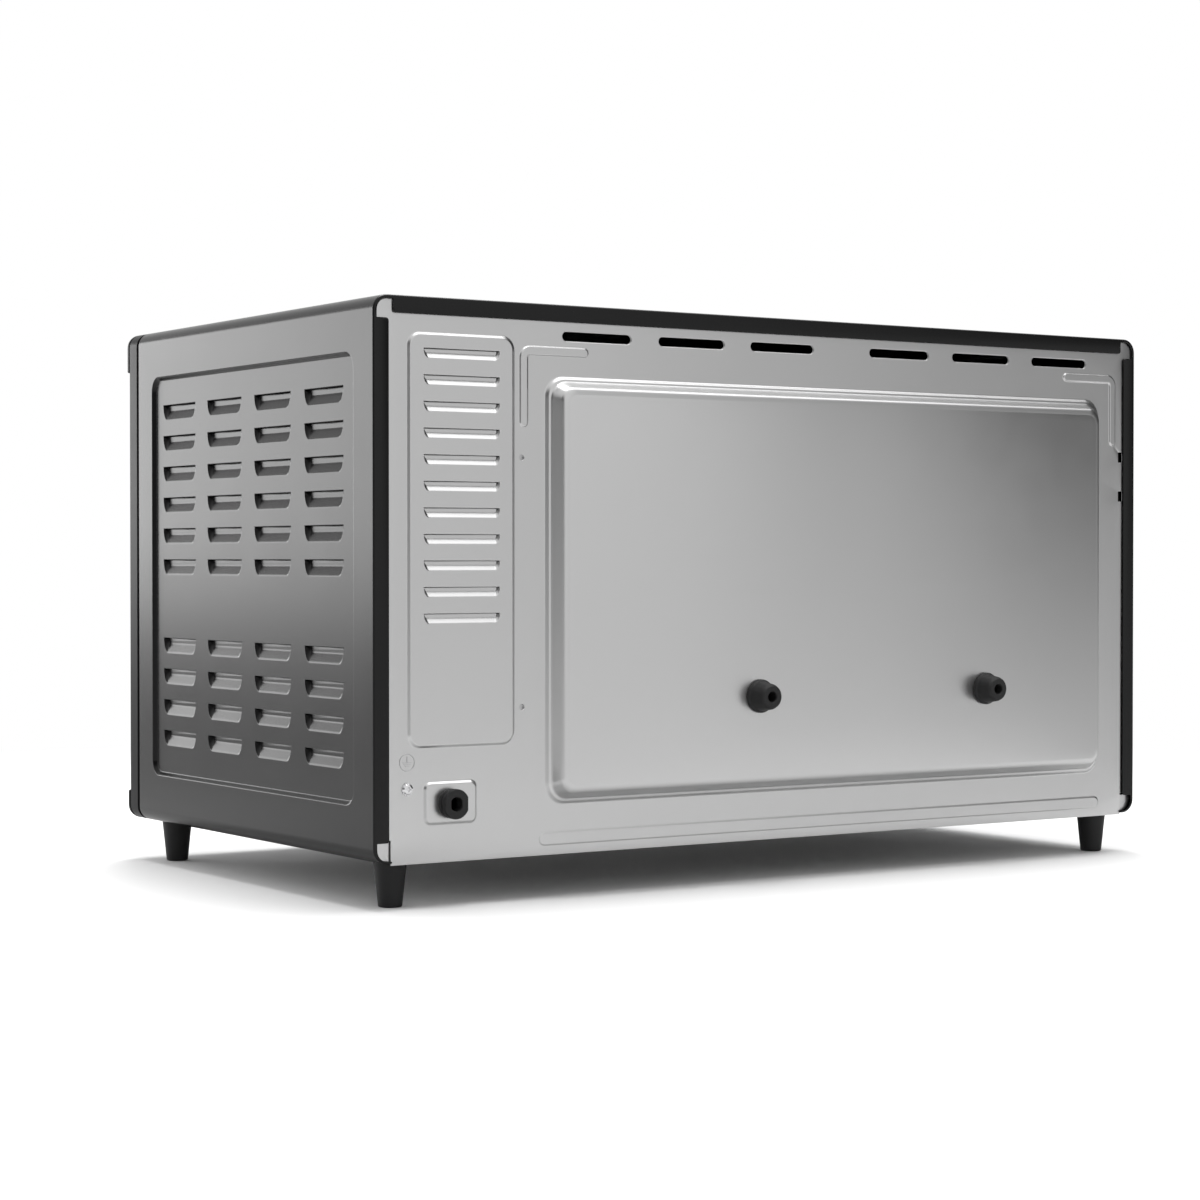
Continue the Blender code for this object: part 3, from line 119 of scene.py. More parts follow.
# Back panel pressings, measured from the wrap's outer faces
BULGE_OUT = 0.0103
BULGE_CROWN = 0.0012
BULGE_MIDDLE = 0.001
CROWN_ACROSS = 2.2
CROWN_UP = 6
SHEEN_CROWN = 0.0085
BULGE_LEFT_MARGIN = 0.0303
BULGE_RIGHT_MARGIN = 0.1070
BULGE_LOW_MARGIN = 0.0264
BULGE_TOP_MARGIN = 0.0391
BULGE_RADIUS = 0.0115
PRESSING_OUT = 0.0012
FIELD_LEFT_MARGIN = 0.0876
FIELD_RIGHT_MARGIN = 0.0207
FIELD_LOW_MARGIN = 0.0602
FIELD_TOP_MARGIN = 0.0186
FIELD_RADIUS = 0.0078
FIELD_WALL = 0.0018
BACK_LOUVRE_LENGTH = 0.0475
BACK_LOUVRE_PITCH = 0.01413
BACK_LOUVRES = 11
BACK_LOUVRE_TOP_MARGIN = 0.0272
BACK_LOUVRE_HEIGHT = 0.0056
BACK_LOUVRE_DEPTH = 0.0019
BACK_LOUVRE_LAND = 0.0019
BACK_LOUVRE_TAPER = 0.0036
VENT_LENGTH = 0.0460
VENT_SHIFT = 0.0022
VENT_HEIGHT = 0.0058
VENT_PITCH = 0.0643
VENT_GROUP_OFFSET = 0.0438
VENT_TOP_MARGIN = 0.0171
VENTS_PER_GROUP = 3
BEAD_WIDTH = 0.0056
BEAD_BEND = 0.0040
BEAD_OFFSET = 0.2190
BEAD_SHIFT = 0.0008
BEAD_ARM = 0.0393
BEAD_TOP_MARGIN = 0.0258
BEAD_OUT = 0.0008
BEAD_WALL = 0.0009
FOOT_BEAD_OUT = 0.0004
FOOT_BEAD_HEIGHT = 0.0078
FOOT_BEAD_MARGIN = 0.0077
FOOT_BEAD_END_MARGIN = 0.0135
SCREW_HOLE_OFFSET = 0.2193
SCREW_HOLE_HEIGHTS = (0.0806, 0.2164)
SCREW_HOLE_RADIUS = 0.0016
SCREW_HOLE_DEPTH = 0.0050
TAB_SLOT_MARGIN = 0.0114
TAB_SLOT_HEIGHTS = (0.2009, 0.2256)
TAB_SLOT_HALF = 0.0032
PAD_WIDTH = 0.0332
PAD_HEIGHT = 0.0236
GLAND_SETBACK = 0.0008
PAD_CENTRE_HEIGHT = 0.0308
PAD_RADIUS = 0.0042
PAD_WALL = 0.0017
EARTH_MARK_HEIGHT = 0.0532
EARTH_BAR_HALF = 0.00022
BODY_X = (LEFT_WALL[0].x + RIGHT_WALL[1].x) / 2

# Knobs
FLUTES = 36
SKIRT_POINTS = 144
GRIP_HALF_WIDTH = 0.004
GRIP_RADIUS = 0.0035
GRIP_MARGIN = 0.0027
POINTER_LENGTH = 0.0080
POINTER_WIDTH = 0.0012
PRINT_LIFT = 0.00005

# Handle
HANDLE_RADIUS = 0.0052

# Camera, from the wrap's back edge and the base
LENS = 81.34
SENSOR_WIDTH = 36
CAMERA_PLACE = (0.9603, BACK_Y + 1.2530, BASE_Z + 0.1606)
CAMERA_DIP = 0.845
CAMERA_TURN = 33.451

# Gloss of the paint and the black mouldings
PAINT_IOR = 1.37
PLASTIC_IOR = 1.18


def link(obj):
    bpy.context.scene.collection.objects.link(obj)
    return obj


# Shaders


class Shader:
    """A node material with helpers for its procedural inputs."""

    def __init__(self, name):
        self.material = bpy.data.materials.new(name)
        self.material.use_nodes = True
        self.tree = self.material.node_tree
        self.surface = self.tree.nodes["Principled BSDF"]
        self.place = self.tree.nodes.new("ShaderNodeTexCoord").outputs["Object"]

    def node(self, kind, **settings):
        made = self.tree.nodes.new(kind)
        for key, value in settings.items():
            setattr(made, key, value)
        return made

    def wire(self, source, target):
        self.tree.links.new(source, target)

    def mapped(self, scale):
        made = self.node("ShaderNodeMapping")
        made.inputs["Scale"].default_value = scale
        self.wire(self.place, made.inputs["Vector"])
        return made.outputs["Vector"]

    def noise(self, scale, detail=2.0, stretch=(1, 1, 1)):
        made = self.node("ShaderNodeTexNoise")
        made.inputs["Scale"].default_value = scale
        made.inputs["Detail"].default_value = detail
        self.wire(self.mapped(stretch), made.inputs["Vector"])
        return made.outputs["Fac"]

    def spread(self, source, low, high):
        made = self.node("ShaderNodeMapRange")
        made.inputs["To Min"].default_value = low
        made.inputs["To Max"].default_value = high
        self.wire(source, made.inputs["Value"])
        return made.outputs["Result"]

    def blend(self, source, colour_a, colour_b):
        made = self.node("ShaderNodeMix", data_type="RGBA")
        made.inputs["A"].default_value = (*colour_a, 1)
        made.inputs["B"].default_value = (*colour_b, 1)
        self.wire(source, made.inputs["Factor"])
        return made.outputs["Result"]

    def colour(self, source):
        self.wire(source, self.surface.inputs["Base Color"])

    def roughness(self, source, low, high):
        self.wire(self.spread(source, low, high), self.surface.inputs["Roughness"])

    def bump(self, source, distance, strength=1.0, after=None):
        made = self.node("ShaderNodeBump")
        made.inputs["Distance"].default_value = distance
        made.inputs["Strength"].default_value = strength
        self.wire(source, made.inputs["Height"])
        if after:
            self.wire(after, made.inputs["Normal"])
        return made.outputs["Normal"]

    def swell(self, middle, half, height, after):
        """Shades a flat face as if it rose by height at its middle, across X."""
        split = self.node("ShaderNodeSeparateXYZ")
        self.wire(self.place, split.inputs[0])
        share = self.node("ShaderNodeMapRange", clamp=False)
        share.inputs["From Min"].default_value = middle
        share.inputs["From Max"].default_value = middle + half
        self.wire(split.outputs["X"], share.inputs["Value"])
        away = self.node("ShaderNodeMath", operation="ABSOLUTE")
        self.wire(share.outputs["Result"], away.inputs[0])
        cube = self.node("ShaderNodeMath", operation="POWER")
        cube.inputs[1].default_value = 3.0
        self.wire(away.outputs[0], cube.inputs[0])
        drop = self.spread(cube.outputs[0], 1.0, 0.0)
        return self.bump(drop, height, after=after)

    def relief(self, normal):
        self.wire(normal, self.surface.inputs["Normal"])

    def set(self, **values):
        for key, value in values.items():
            self.surface.inputs[key.replace("_", " ")].default_value = value


def satin_paint():
    """Baked paint on sheet: faint orange peel and slightly uneven gloss."""
    s = Shader("satin_paint")
    s.colour(s.blend(s.noise(7, 3), (0.0020, 0.0020, 0.0021), (0.0034, 0.0034, 0.0036)))
    s.roughness(s.noise(26, 4), 0.21, 0.27)
    s.relief(s.bump(s.noise(420, 2), 0.00003, 0.35))
    s.set(Metallic=0.0, IOR=PAINT_IOR)
    return s.material


def galvanised(name, crown=None):
    """Skin-passed zinc: soft spangle, fine rolling lines and uneven gloss.
    A crown of (middle, half width, height) gives a drawn face its slow swell across."""
    s = Shader(name)
    s.colour(s.blend(s.noise(5, 4), (0.60, 0.60, 0.60), (0.65, 0.65, 0.65)))
    spangle = s.node("ShaderNodeMath", operation="MULTIPLY")
    s.wire(s.noise(60, 5), spangle.inputs[0])
    s.wire(s.noise(9, 3), spangle.inputs[1])
    s.roughness(spangle.outputs[0], 0.27, 0.35)
    grain = s.bump(s.noise(900, 3, (1, 1, 0.06)), 0.000012, 0.35)
    relief = s.bump(s.noise(18, 2), 0.00010, 0.06, after=grain)
    if crown:
        relief = s.swell(*crown, after=relief)
    s.relief(relief)
    s.set(Metallic=1.0)
    return s.material


def bright_sheet():
    """Aluminised cavity sheet with rolling lines."""
    s = Shader("aluminised_sheet")
    s.colour(s.blend(s.noise(14, 4), (0.50, 0.50, 0.51), (0.60, 0.60, 0.60)))
    s.roughness(s.noise(40, 4), 0.26, 0.42)
    s.relief(s.bump(s.noise(700, 3, (1, 0.05, 1)), 0.00002, 0.3))
    s.set(Metallic=1.0)
    return s.material


def moulded(name, dark, light, low, high, grain, ior=1.36):
    """Textured plastic or rubber with a fine spark-eroded grain."""
    s = Shader(name)
    s.colour(s.blend(s.noise(30, 3), dark, light))
    s.roughness(s.noise(120, 4), low, high)
    s.relief(s.bump(s.noise(1400, 3), grain, 0.5))
    s.set(Metallic=0.0, IOR=ior)
    return s.material


def polished(name, dark, light, low, high):
    """Plated or drawn metal with faint smudges."""
    s = Shader(name)
    s.colour(s.blend(s.noise(25, 3), dark, light))
    s.roughness(s.noise(60, 4), low, high)
    s.relief(s.bump(s.noise(900, 2), 0.000008, 0.3))
    s.set(Metallic=1.0)
    return s.material


def brushed():
    """Brushed aluminium, lines along the bar."""
    s = Shader("brushed_aluminium")
    s.colour(s.blend(s.noise(30, 3), (0.66, 0.66, 0.67), (0.74, 0.74, 0.75)))
    s.roughness(s.noise(1100, 3, (0.02, 1, 1)), 0.24, 0.38)
    s.relief(s.bump(s.noise(1600, 3, (0.015, 1, 1)), 0.00002, 0.35))
    s.set(Metallic=1.0)
    return s.material


def oven_glass():
    """Tinted tempered glass with a light film of smudges."""
    s = Shader("tempered_glass")
    s.colour(s.blend(s.noise(12, 3), (0.50, 0.52, 0.52), (0.56, 0.58, 0.57)))
    s.roughness(s.noise(18, 5), 0.015, 0.06)
    s.set(Metallic=0.0, IOR=1.5)
    s.surface.inputs["Transmission Weight"].default_value = 0.92
    return s.material


def enamel():
    """Speckled dark enamel."""
    s = Shader("speckled_enamel")
    flecks = s.node("ShaderNodeTexVoronoi")
    flecks.inputs["Scale"].default_value = 420
    s.wire(s.place, flecks.inputs["Vector"])
    edge = s.node("ShaderNodeMath", operation="LESS_THAN")
    edge.inputs[1].default_value = 0.16
    s.wire(flecks.outputs["Distance"], edge.inputs[0])
    s.colour(s.blend(edge.outputs[0], (0.016, 0.017, 0.020), (0.16, 0.16, 0.17)))
    s.roughness(s.noise(30, 3), 0.14, 0.24)
    s.relief(s.bump(s.noise(160, 2), 0.00005, 0.3))
    return s.material


def sheath():
    """Oxidised steel sheath of a heating element."""
    s = Shader("oxidised_sheath")
    s.colour(s.blend(s.noise(40, 5), (0.09, 0.075, 0.065), (0.20, 0.17, 0.15)))
    s.roughness(s.noise(90, 4), 0.42, 0.62)
    s.relief(s.bump(s.noise(900, 3), 0.00002, 0.5))
    s.set(Metallic=0.7)
    return s.material


def jewel():
    s = Shader("red_jewel")
    s.colour(s.blend(s.noise(200, 2), (0.55, 0.02, 0.015), (0.70, 0.04, 0.03)))
    s.roughness(s.noise(90, 2), 0.06, 0.14)
    s.surface.inputs["Transmission Weight"].default_value = 0.4
    return s.material


def print_white():
    s = Shader("dial_print")
    s.colour(s.blend(s.noise(600, 2), (0.62, 0.62, 0.62), (0.74, 0.74, 0.74)))
    s.roughness(s.noise(300, 2), 0.42, 0.55)
    return s.material


PAINT = satin_paint()
ZINC = galvanised("galvanised_sheet")
BULGE_X = (BULGE_LEFT_MARGIN - BULGE_RIGHT_MARGIN) / 2
BULGE_HALF = HALF_WIDTH - (BULGE_LEFT_MARGIN + BULGE_RIGHT_MARGIN) / 2
DRAWN_ZINC = galvanised("galvanised_drawn_face", (BULGE_X, BULGE_HALF, SHEEN_CROWN))
SHEETING = bright_sheet()
PLASTIC = moulded(
    "black_moulding", (0.007, 0.007, 0.0075), (0.010, 0.010, 0.0105), 0.28, 0.36, 0.00003, PLASTIC_IOR
)
RUBBER = moulded("black_rubber", (0.017, 0.017, 0.0175), (0.022, 0.022, 0.0225), 0.50, 0.62, 0.00004)
CERAMIC = moulded("ceramic", (0.72, 0.68, 0.60), (0.80, 0.77, 0.70), 0.45, 0.60, 0.00003)
CHROME = polished("chrome_plate", (0.72, 0.72, 0.73), (0.80, 0.80, 0.81), 0.08, 0.16)
BRASS = polished("brass", (0.66, 0.48, 0.20), (0.76, 0.58, 0.27), 0.22, 0.36)
ALUMINIUM = brushed()
GLASS = oven_glass()
ENAMEL = enamel()
SHEATH = sheath()
JEWEL = jewel()
PRINT = print_white()


# Meshes


def arc(cu, cv, radius, start, end, steps):
    """Points on an arc, angles in degrees."""
    turn = [math.radians(start + (end - start) * i / steps) for i in range(steps + 1)]
    return [(cu + radius * math.cos(a), cv + radius * math.sin(a)) for a in turn]


def rounded(u0, u1, v0, v1, radius, steps=8):
    return (
        arc(u1 - radius, v0 + radius, radius, -90, 0, steps)
        + arc(u1 - radius, v1 - radius, radius, 0, 90, steps)
        + arc(u0 + radius, v1 - radius, radius, 90, 180, steps)
        + arc(u0 + radius, v0 + radius, radius, 180, 270, steps)
    )


def slot_outline(cu, cv, length, height, steps=8):
    radius = height / 2
    reach = length / 2 - radius
    return arc(cu + reach, cv, radius, -90, 90, steps) + arc(cu - reach, cv, radius, 90, 270, steps)


def circle(cu, cv, radius, steps=24):
    return arc(cu, cv, radius, 0, 360 - 360 / steps, steps - 1)


class SheetMesh:
    """Pressed sheet built on a plane: (u, v) lie in the plane and w stands out of it."""

    def __init__(self, place):
        self.bm = bmesh.new()
        self.place = place

    def ring(self, points, w):
        return [self.bm.verts.new(self.place(u, v, w)) for u, v in points]

    def strip(self, ring_a, ring_b, closed=True):
        count = len(ring_a)
        for i in range(count if closed else count - 1):
            j = (i + 1) % count
            self.bm.faces.new((ring_a[i], ring_a[j], ring_b[j], ring_b[i]))

    def skin(self, rings, closed=True):
        for ring_a, ring_b in zip(rings, rings[1:]):
            self.strip(ring_a, ring_b, closed)

    def fill(self, *loops):
        """Fills a flat region between an outer loop and the loops of its holes."""
        edges = []
        for loop in loops:
            for i, vert in enumerate(loop):
                pair = (vert, loop[(i + 1) % len(loop)])
                edges.append(self.bm.edges.get(pair) or self.bm.edges.new(pair))
        bmesh.ops.triangle_fill(self.bm, use_beauty=True, edges=edges)

    def pressed(self, outline, profile, base=0.0):
        """Rings from an outline that shrinks as it rises; returns the first and last rings.
        A narrow flat ring at each end keeps the shading of the flats beside it even."""
        held = [(profile[0][0] - HOLD, profile[0][1])] + list(profile)
        held.append((profile[-1][0] + HOLD, profile[-1][1]))
        rings = [self.ring(outline(shrink), base + rise) for shrink, rise in held]
        self.skin(rings)
        return rings[0], rings[-1]

    def louvre(self, spot, size, base=0.0):
        """A pocket pushed in from the sheet and slit along its top; returns its outline ring."""
        u_mid, v_top = spot
        length, height, depth, land, taper = size
        half = length / 2
        steps = 6
        turn = [math.radians(90 * i / steps) for i in range(steps + 1)]

        def edge(inset, drop, bend):
            left = [(-half + inset + bend * (1 - math.cos(a)), -drop * math.sin(a)) for a in turn]
            right = [(-u, v) for u, v in reversed(left)]
            return [(u_mid + u, v_top + v) for u, v in left + right]

        outer = edge(0, height, taper)
        inner = edge(END_INSET, land, taper * 0.3)
        stages = ((0.0, 0.0), (0.08, 0.03), (0.2, 0.16), (0.82, 0.88), (0.93, 0.98), (1.0, 1.0))
        rings = []
        for across, down in stages:
            mixed = [
                (a[0] + (b[0] - a[0]) * across, a[1] + (b[1] - a[1]) * across)
                for a, b in zip(outer, inner)
            ]
            rings.append(self.ring(mixed, base - depth * down))
        self.skin(rings, closed=False)
        self.bm.faces.new(rings[-1])
        centre = v_top - height / 2
        wide = 1 + 2 * HOLD / length
        tall = 1 + 2 * HOLD / height
        spread = [(u_mid + (u - u_mid) * wide, centre + (v - centre) * tall) for u, v in outer]
        hold = self.ring(spread, base)
        self.strip(hold, rings[0])
        return hold

    def finish(self, name, material, thickness=SHEET, angle=32):
        bmesh.ops.remove_doubles(self.bm, verts=self.bm.verts, dist=0.000002)
        bmesh.ops.recalc_face_normals(self.bm, faces=self.bm.faces)
        obj = mesh_object(name, self.bm, material, angle)
        if thickness:
            wall = obj.modifiers.new("Thickness", "SOLIDIFY")
            wall.thickness = thickness
            wall.offset = -1.0
        obj.modifiers.new("Even shading", "WEIGHTED_NORMAL").keep_sharp = True
        return obj


def mesh_object(name, bm, material, angle=32):
    mesh = bpy.data.meshes.new(name)
    bm.to_mesh(mesh)
    bm.free()
    mesh.materials.append(material)
    mesh.shade_smooth()
    mesh.set_sharp_from_angle(angle=math.radians(angle))
    return link(bpy.data.objects.new(name, mesh))


def lathe(name, profile, centre, axis, material, segments=56, angle=28):
    """Turns (radius, along) points about an axis; the ends are closed."""
    bm = bmesh.new()
    rings = []
    for radius, along in profile:
        ring = []
        for u, v in circle(0, 0, radius, segments):
            offset = {"X": (along, u, v), "Y": (u, along, v), "Z": (u, v, along)}[axis]
            ring.append(bm.verts.new(Vector(centre) + Vector(offset)))
        rings.append(ring)
    for ring_a, ring_b in zip(rings, rings[1:]):
        for i in range(segments):
            j = (i + 1) % segments
            bm.faces.new((ring_a[i], ring_a[j], ring_b[j], ring_b[i]))
    bm.faces.new(rings[0])
    bm.faces.new(list(reversed(rings[-1])))
    bmesh.ops.recalc_face_normals(bm, faces=bm.faces)
    return mesh_object(name, bm, material, angle)


def softened(node, material, width=0.0006, segments=3, angle=32):
    """A CAD node's shape with its edges rounded, standing for that node."""
    source = NODES[node]
    obj = link(bpy.data.objects.new(f"{node}_finished", source.data.copy()))
    obj.data.materials.clear()
    obj.data.materials.append(material)
    bm = bmesh.new()
    bm.from_mesh(obj.data)
    bmesh.ops.remove_doubles(bm, verts=bm.verts, dist=0.000001)
    flat = math.radians(1)
    bmesh.ops.dissolve_limit(bm, angle_limit=flat, verts=bm.verts, edges=bm.edges)
    bm.to_mesh(obj.data)
    bm.free()
    obj.data.shade_smooth()
    obj.data.set_sharp_from_angle(angle=math.radians(angle))
    edge = obj.modifiers.new("Edges", "BEVEL")
    edge.width = width
    edge.segments = segments
    edge.limit_method = "ANGLE"
    edge.angle_limit = math.radians(angle)
    edge.use_clamp_overlap = True
    obj.modifiers.new("Even shading", "WEIGHTED_NORMAL").keep_sharp = False
    return stands_for(obj, node)


def stands_for(obj, *nodes):
    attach(obj, NODES[nodes[0]]["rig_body"])
    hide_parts(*nodes)
    return obj


# Outer wrap


def section(inset):
    """Half of the wrap's cross-section from under the base to the middle of the top, as (x, z)."""
    radius = CORNER_RADIUS - inset
    edge = HALF_WIDTH - inset
    low = BASE_Z + inset
    top = TOP_Z - inset
    points = [(HALF_WIDTH - UNDER_RETURN, low)]
    points += arc(edge - radius, low + radius, radius, -90, 0, CORNER_STEPS)
    points += arc(edge - radius, top - radius, radius, 0, 90, CORNER_STEPS)
    return points


def full_section(inset):
    right = section(inset)
    return right + [(-x, z) for x, z in reversed(right)]


def flange_edge():
    """Inner edge of the folds over the back, from the right under-return to the left one."""
    lip = LIP_WIDTH
    radius = CORNER_RADIUS - lip
    edge = HALF_WIDTH - lip
    low = BASE_Z + FOLD_RADIUS + 0.0002
    turn = low + CORNER_RADIUS - lip
    top = TOP_Z - lip
    inner = HALF_WIDTH - FLANGE_WIDTH
    foot = BASE_Z + EAR_HEIGHT
    head = TOP_Z - FLANGE_NOTCH
    notch = HALF_WIDTH - FLANGE_NOTCH
    hem = TOP_Z - TOP_FLANGE_HEIGHT
    r = FLANGE_CORNER
    points = [(HALF_WIDTH - UNDER_RETURN, low)]
    points += arc(edge - radius, turn, radius, -90, 0, CORNER_STEPS)
    points += [(edge, foot)] + arc(inner + r, foot + r, r, 270, 180, 4)
    points += arc(inner + r, head - r, r, 180, 90, 4) + [(edge, head)]
    points += arc(edge - radius, top - radius, radius, 0, 90, CORNER_STEPS)
    points += [(notch, top)] + arc(notch - r, hem + r, r, 0, -90, 4)
    return points + [(-x, z) for x, z in reversed(points)]


def louvre_rows():
    top = [TOP_Z - LOUVRE_TOP_MARGIN - i * LOUVRE_PITCH_Z for i in range(LOUVRE_TOP_ROWS)]
    low = [BASE_Z + LOUVRE_LOW_MARGIN + i * LOUVRE_PITCH_Z for i in range(LOUVRE_LOW_ROWS)]
    return low + top


def louvre_columns():
    first = BACK_Y - LOUVRE_FIELD_BACK - LOUVRE_LENGTH / 2
    room = BACK_Y - FRONT_Y - LOUVRE_FIELD_BACK - LOUVRE_FIELD_FRONT - LOUVRE_LENGTH
    count = 1 + math.floor(room / LOUVRE_PITCH_Y + 1e-6)
    return [first - i * LOUVRE_PITCH_Y for i in range(count)]


def build_wrap():
    """The folded wrap: sides with a pressed field of louvres, top, and hems over the back."""
    sheet = SheetMesh(lambda x, z, y: (x, y, z))
    r = FOLD_RADIUS
    stations = [(FRONT_Y + 0.0005, 0.0012), (FRONT_Y, 0.0007), (FRONT_Y + 0.0001, 0.0003)]
    stations += [(FRONT_Y + 0.0007, 0.0), (BACK_Y - r, 0.0)]
    for i in range(1, 5):
        a = math.radians(90 * i / 4)
        stations.append((BACK_Y - r * (1 - math.sin(a)), r * (1 - math.cos(a))))
    rings = [sheet.ring(full_section(inset), y) for y, inset in stations]
    side_index = CORNER_STEPS + 1
    count = len(rings[0])
    main = 3
    for number, (ring_a, ring_b) in enumerate(zip(rings, rings[1:])):
        for i in range(count - 1):
            is_side = i in (side_index, count - 2 - side_index)
            if number == main and is_side:
                continue
            sheet.bm.faces.new((ring_a[i], ring_a[i + 1], ring_b[i + 1], ring_b[i]))
    hem = sheet.ring(flange_edge(), BACK_Y)
    sheet.fill(rings[-1] + list(reversed(hem)))
    for side, start in ((1, side_index), (-1, count - 2 - side_index)):
        corners = [rings[main][start], rings[main][start + 1]]
        corners += [rings[main + 1][start + 1], rings[main + 1][start]]
        press_side(sheet, side, corners)
    wrap = sheet.finish("wrap_shell", PAINT)
    stands_for(wrap, "outer_wrap")


def press_side(sheet, side, corners):
    """Fills one side: flat border, the shallow recess and its louvres."""
    keep = sheet.place
    sheet.place = lambda y, z, w: (side * (HALF_WIDTH + w), y, z)

    def outline(shrink):
        return rounded(
            FRONT_Y + RECESS_FRONT_MARGIN + shrink,
            BACK_Y - RECESS_BACK_MARGIN - shrink,
            BASE_Z + RECESS_LOW_MARGIN + shrink,
            TOP_Z - RECESS_TOP_MARGIN - shrink,
            RECESS_RADIUS - shrink,
        )

    depth = RECESS_DEPTH
    wall = RECESS_WALL
    profile = [(0, 0), (wall * 0.14, -depth * 0.05), (wall * 0.28, -depth * 0.2)]
    profile += [(wall * 0.72, -depth * 0.8), (wall * 0.86, -depth * 0.95), (wall, -depth)]
    first, last = sheet.pressed(outline, profile)
    sheet.fill(corners, first)
    size = (LOUVRE_LENGTH, LOUVRE_HEIGHT, LOUVRE_DEPTH, LOUVRE_LAND, LOUVRE_TAPER)
    pockets = [sheet.louvre((y, z), size, -depth) for y in louvre_columns() for z in louvre_rows()]
    sheet.fill(last, *pockets)
    sheet.place = keep


# Back panel


def stroke(path, half, bend=BEAD_BEND, steps=6):
    """Outline of a stroke with round ends, and a rounded corner where the path turns."""
    points = [Vector(p) for p in path]
    ahead = [(b - a).normalized() for a, b in zip(points, points[1:])]
    across = [Vector((-d.y, d.x)) for d in ahead]
    start = math.degrees(math.atan2(-across[0].y, -across[0].x))
    end = math.degrees(math.atan2(across[-1].y, across[-1].x))
    cap_start = arc(points[0].x, points[0].y, half, start, start - 180, steps)
    cap_end = arc(points[-1].x, points[-1].y, half, end, end - 180, steps)
    if len(points) == 2:
        return cap_end + cap_start
    turn = math.copysign(1, ahead[0].cross(ahead[1]))
    centre = points[1] - ahead[0] * bend + across[0] * turn * bend
    begin = math.degrees(math.atan2(-turn * across[0].y, -turn * across[0].x))
    left = arc(centre.x, centre.y, bend - turn * half, begin, begin + turn * 90, steps)
    right = arc(centre.x, centre.y, bend + turn * half, begin, begin + turn * 90, steps)
    return left + cap_end + list(reversed(right)) + cap_start


def bead_profile(width, rise=PRESSING_OUT):
    return [(0, 0), (width * 0.3, rise * 0.15), (width * 0.7, rise * 0.8), (width, rise)]


def back_outline():
    """Edge of the back panel, notched at the bottom for the base plate's ears."""
    half = PANEL_HIGH.x
    narrow = HALF_WIDTH - UNDER_RETURN
    low = BASE_Z - PANEL_DROP
    top = PANEL_HIGH.z
    step = BASE_Z + EAR_HEIGHT + EAR_GAP
    radius = CORNER_RADIUS - SHEET
    right = [(narrow, low), (narrow, step), (half, step)]
    right += arc(half - radius, top - radius, radius, 0, 90, CORNER_STEPS)
    return right + [(-x, z) for x, z in reversed(right)]


def divided(u0, u1, v0, v1, radius):
    """A rounded rectangle with points all along its sides, so that a crown can follow them."""
    corners = rounded(u0, u1, v0, v1, radius, 8)
    points = []
    for start, count in ((0, 22), (9, 36), (18, 22), (27, 36)):
        points += corners[start : start + 9]
        (ua, va), (ub, vb) = corners[start + 8], corners[(start + 9) % 36]
        points += [(ua + (ub - ua) * i / count, va + (vb - va) * i / count) for i in range(1, count)]
    return points


def build_bulge(sheet):
    """The bulge behind the cavity: a low step, a steeper wall and a slightly crowned face."""
    left = -HALF_WIDTH + BULGE_LEFT_MARGIN
    right = HALF_WIDTH - BULGE_RIGHT_MARGIN
    low = BASE_Z + BULGE_LOW_MARGIN
    high = TOP_Z - BULGE_TOP_MARGIN
    rise = BULGE_OUT - BULGE_CROWN
    profile = [(-HOLD, 0), (0, 0), (0.0004, 0.00015), (0.0010, 0.0007), (0.0016, 0.0014)]
    profile += [(0.0020, 0.0016), (0.0028, 0.0018), (0.0033, 0.0021), (0.0039, 0.0031)]
    profile += [(0.0061, rise - 0.0019), (0.0068, rise - 0.0011), (0.0077, rise - 0.0005)]
    profile += [(0.0089, rise - 0.00015), (0.0104, rise)]
    edge = profile[-1][0]
    half_u = (right - left) / 2 - edge
    half_v = (high - low) / 2 - edge
    steps = 26
    for i in range(1, steps + 1):
        profile.append((edge + (half_v - BULGE_MIDDLE) * i / steps, rise))
    rings = []
    for shrink, lift in profile:
        tall = high - low - 2 * shrink
        radius = min(max(BULGE_RADIUS - shrink * 0.55, 0.004), tall * 0.45)
        outline = divided(left + shrink, right - shrink, low + shrink, high - shrink, radius)
        ring = []
        for u, v in outline:
            across = min(abs(u - (left + right) / 2) / half_u, 1)
            up = min(abs(v - (low + high) / 2) / half_v, 1)
            crown = BULGE_CROWN * (1 - across**CROWN_ACROSS) * (1 - up**CROWN_UP)
            ring.append(sheet.bm.verts.new(sheet.place(u, v, lift + crown)))
        rings.append(ring)
    sheet.skin(rings)
    sheet.bm.faces.new(rings[-1])
    sheet.bm.faces.ensure_lookup_table()
    for face in sheet.bm.faces[-1 - steps * len(rings[0]) :]:
        face.material_index = 1
    return rings[0]


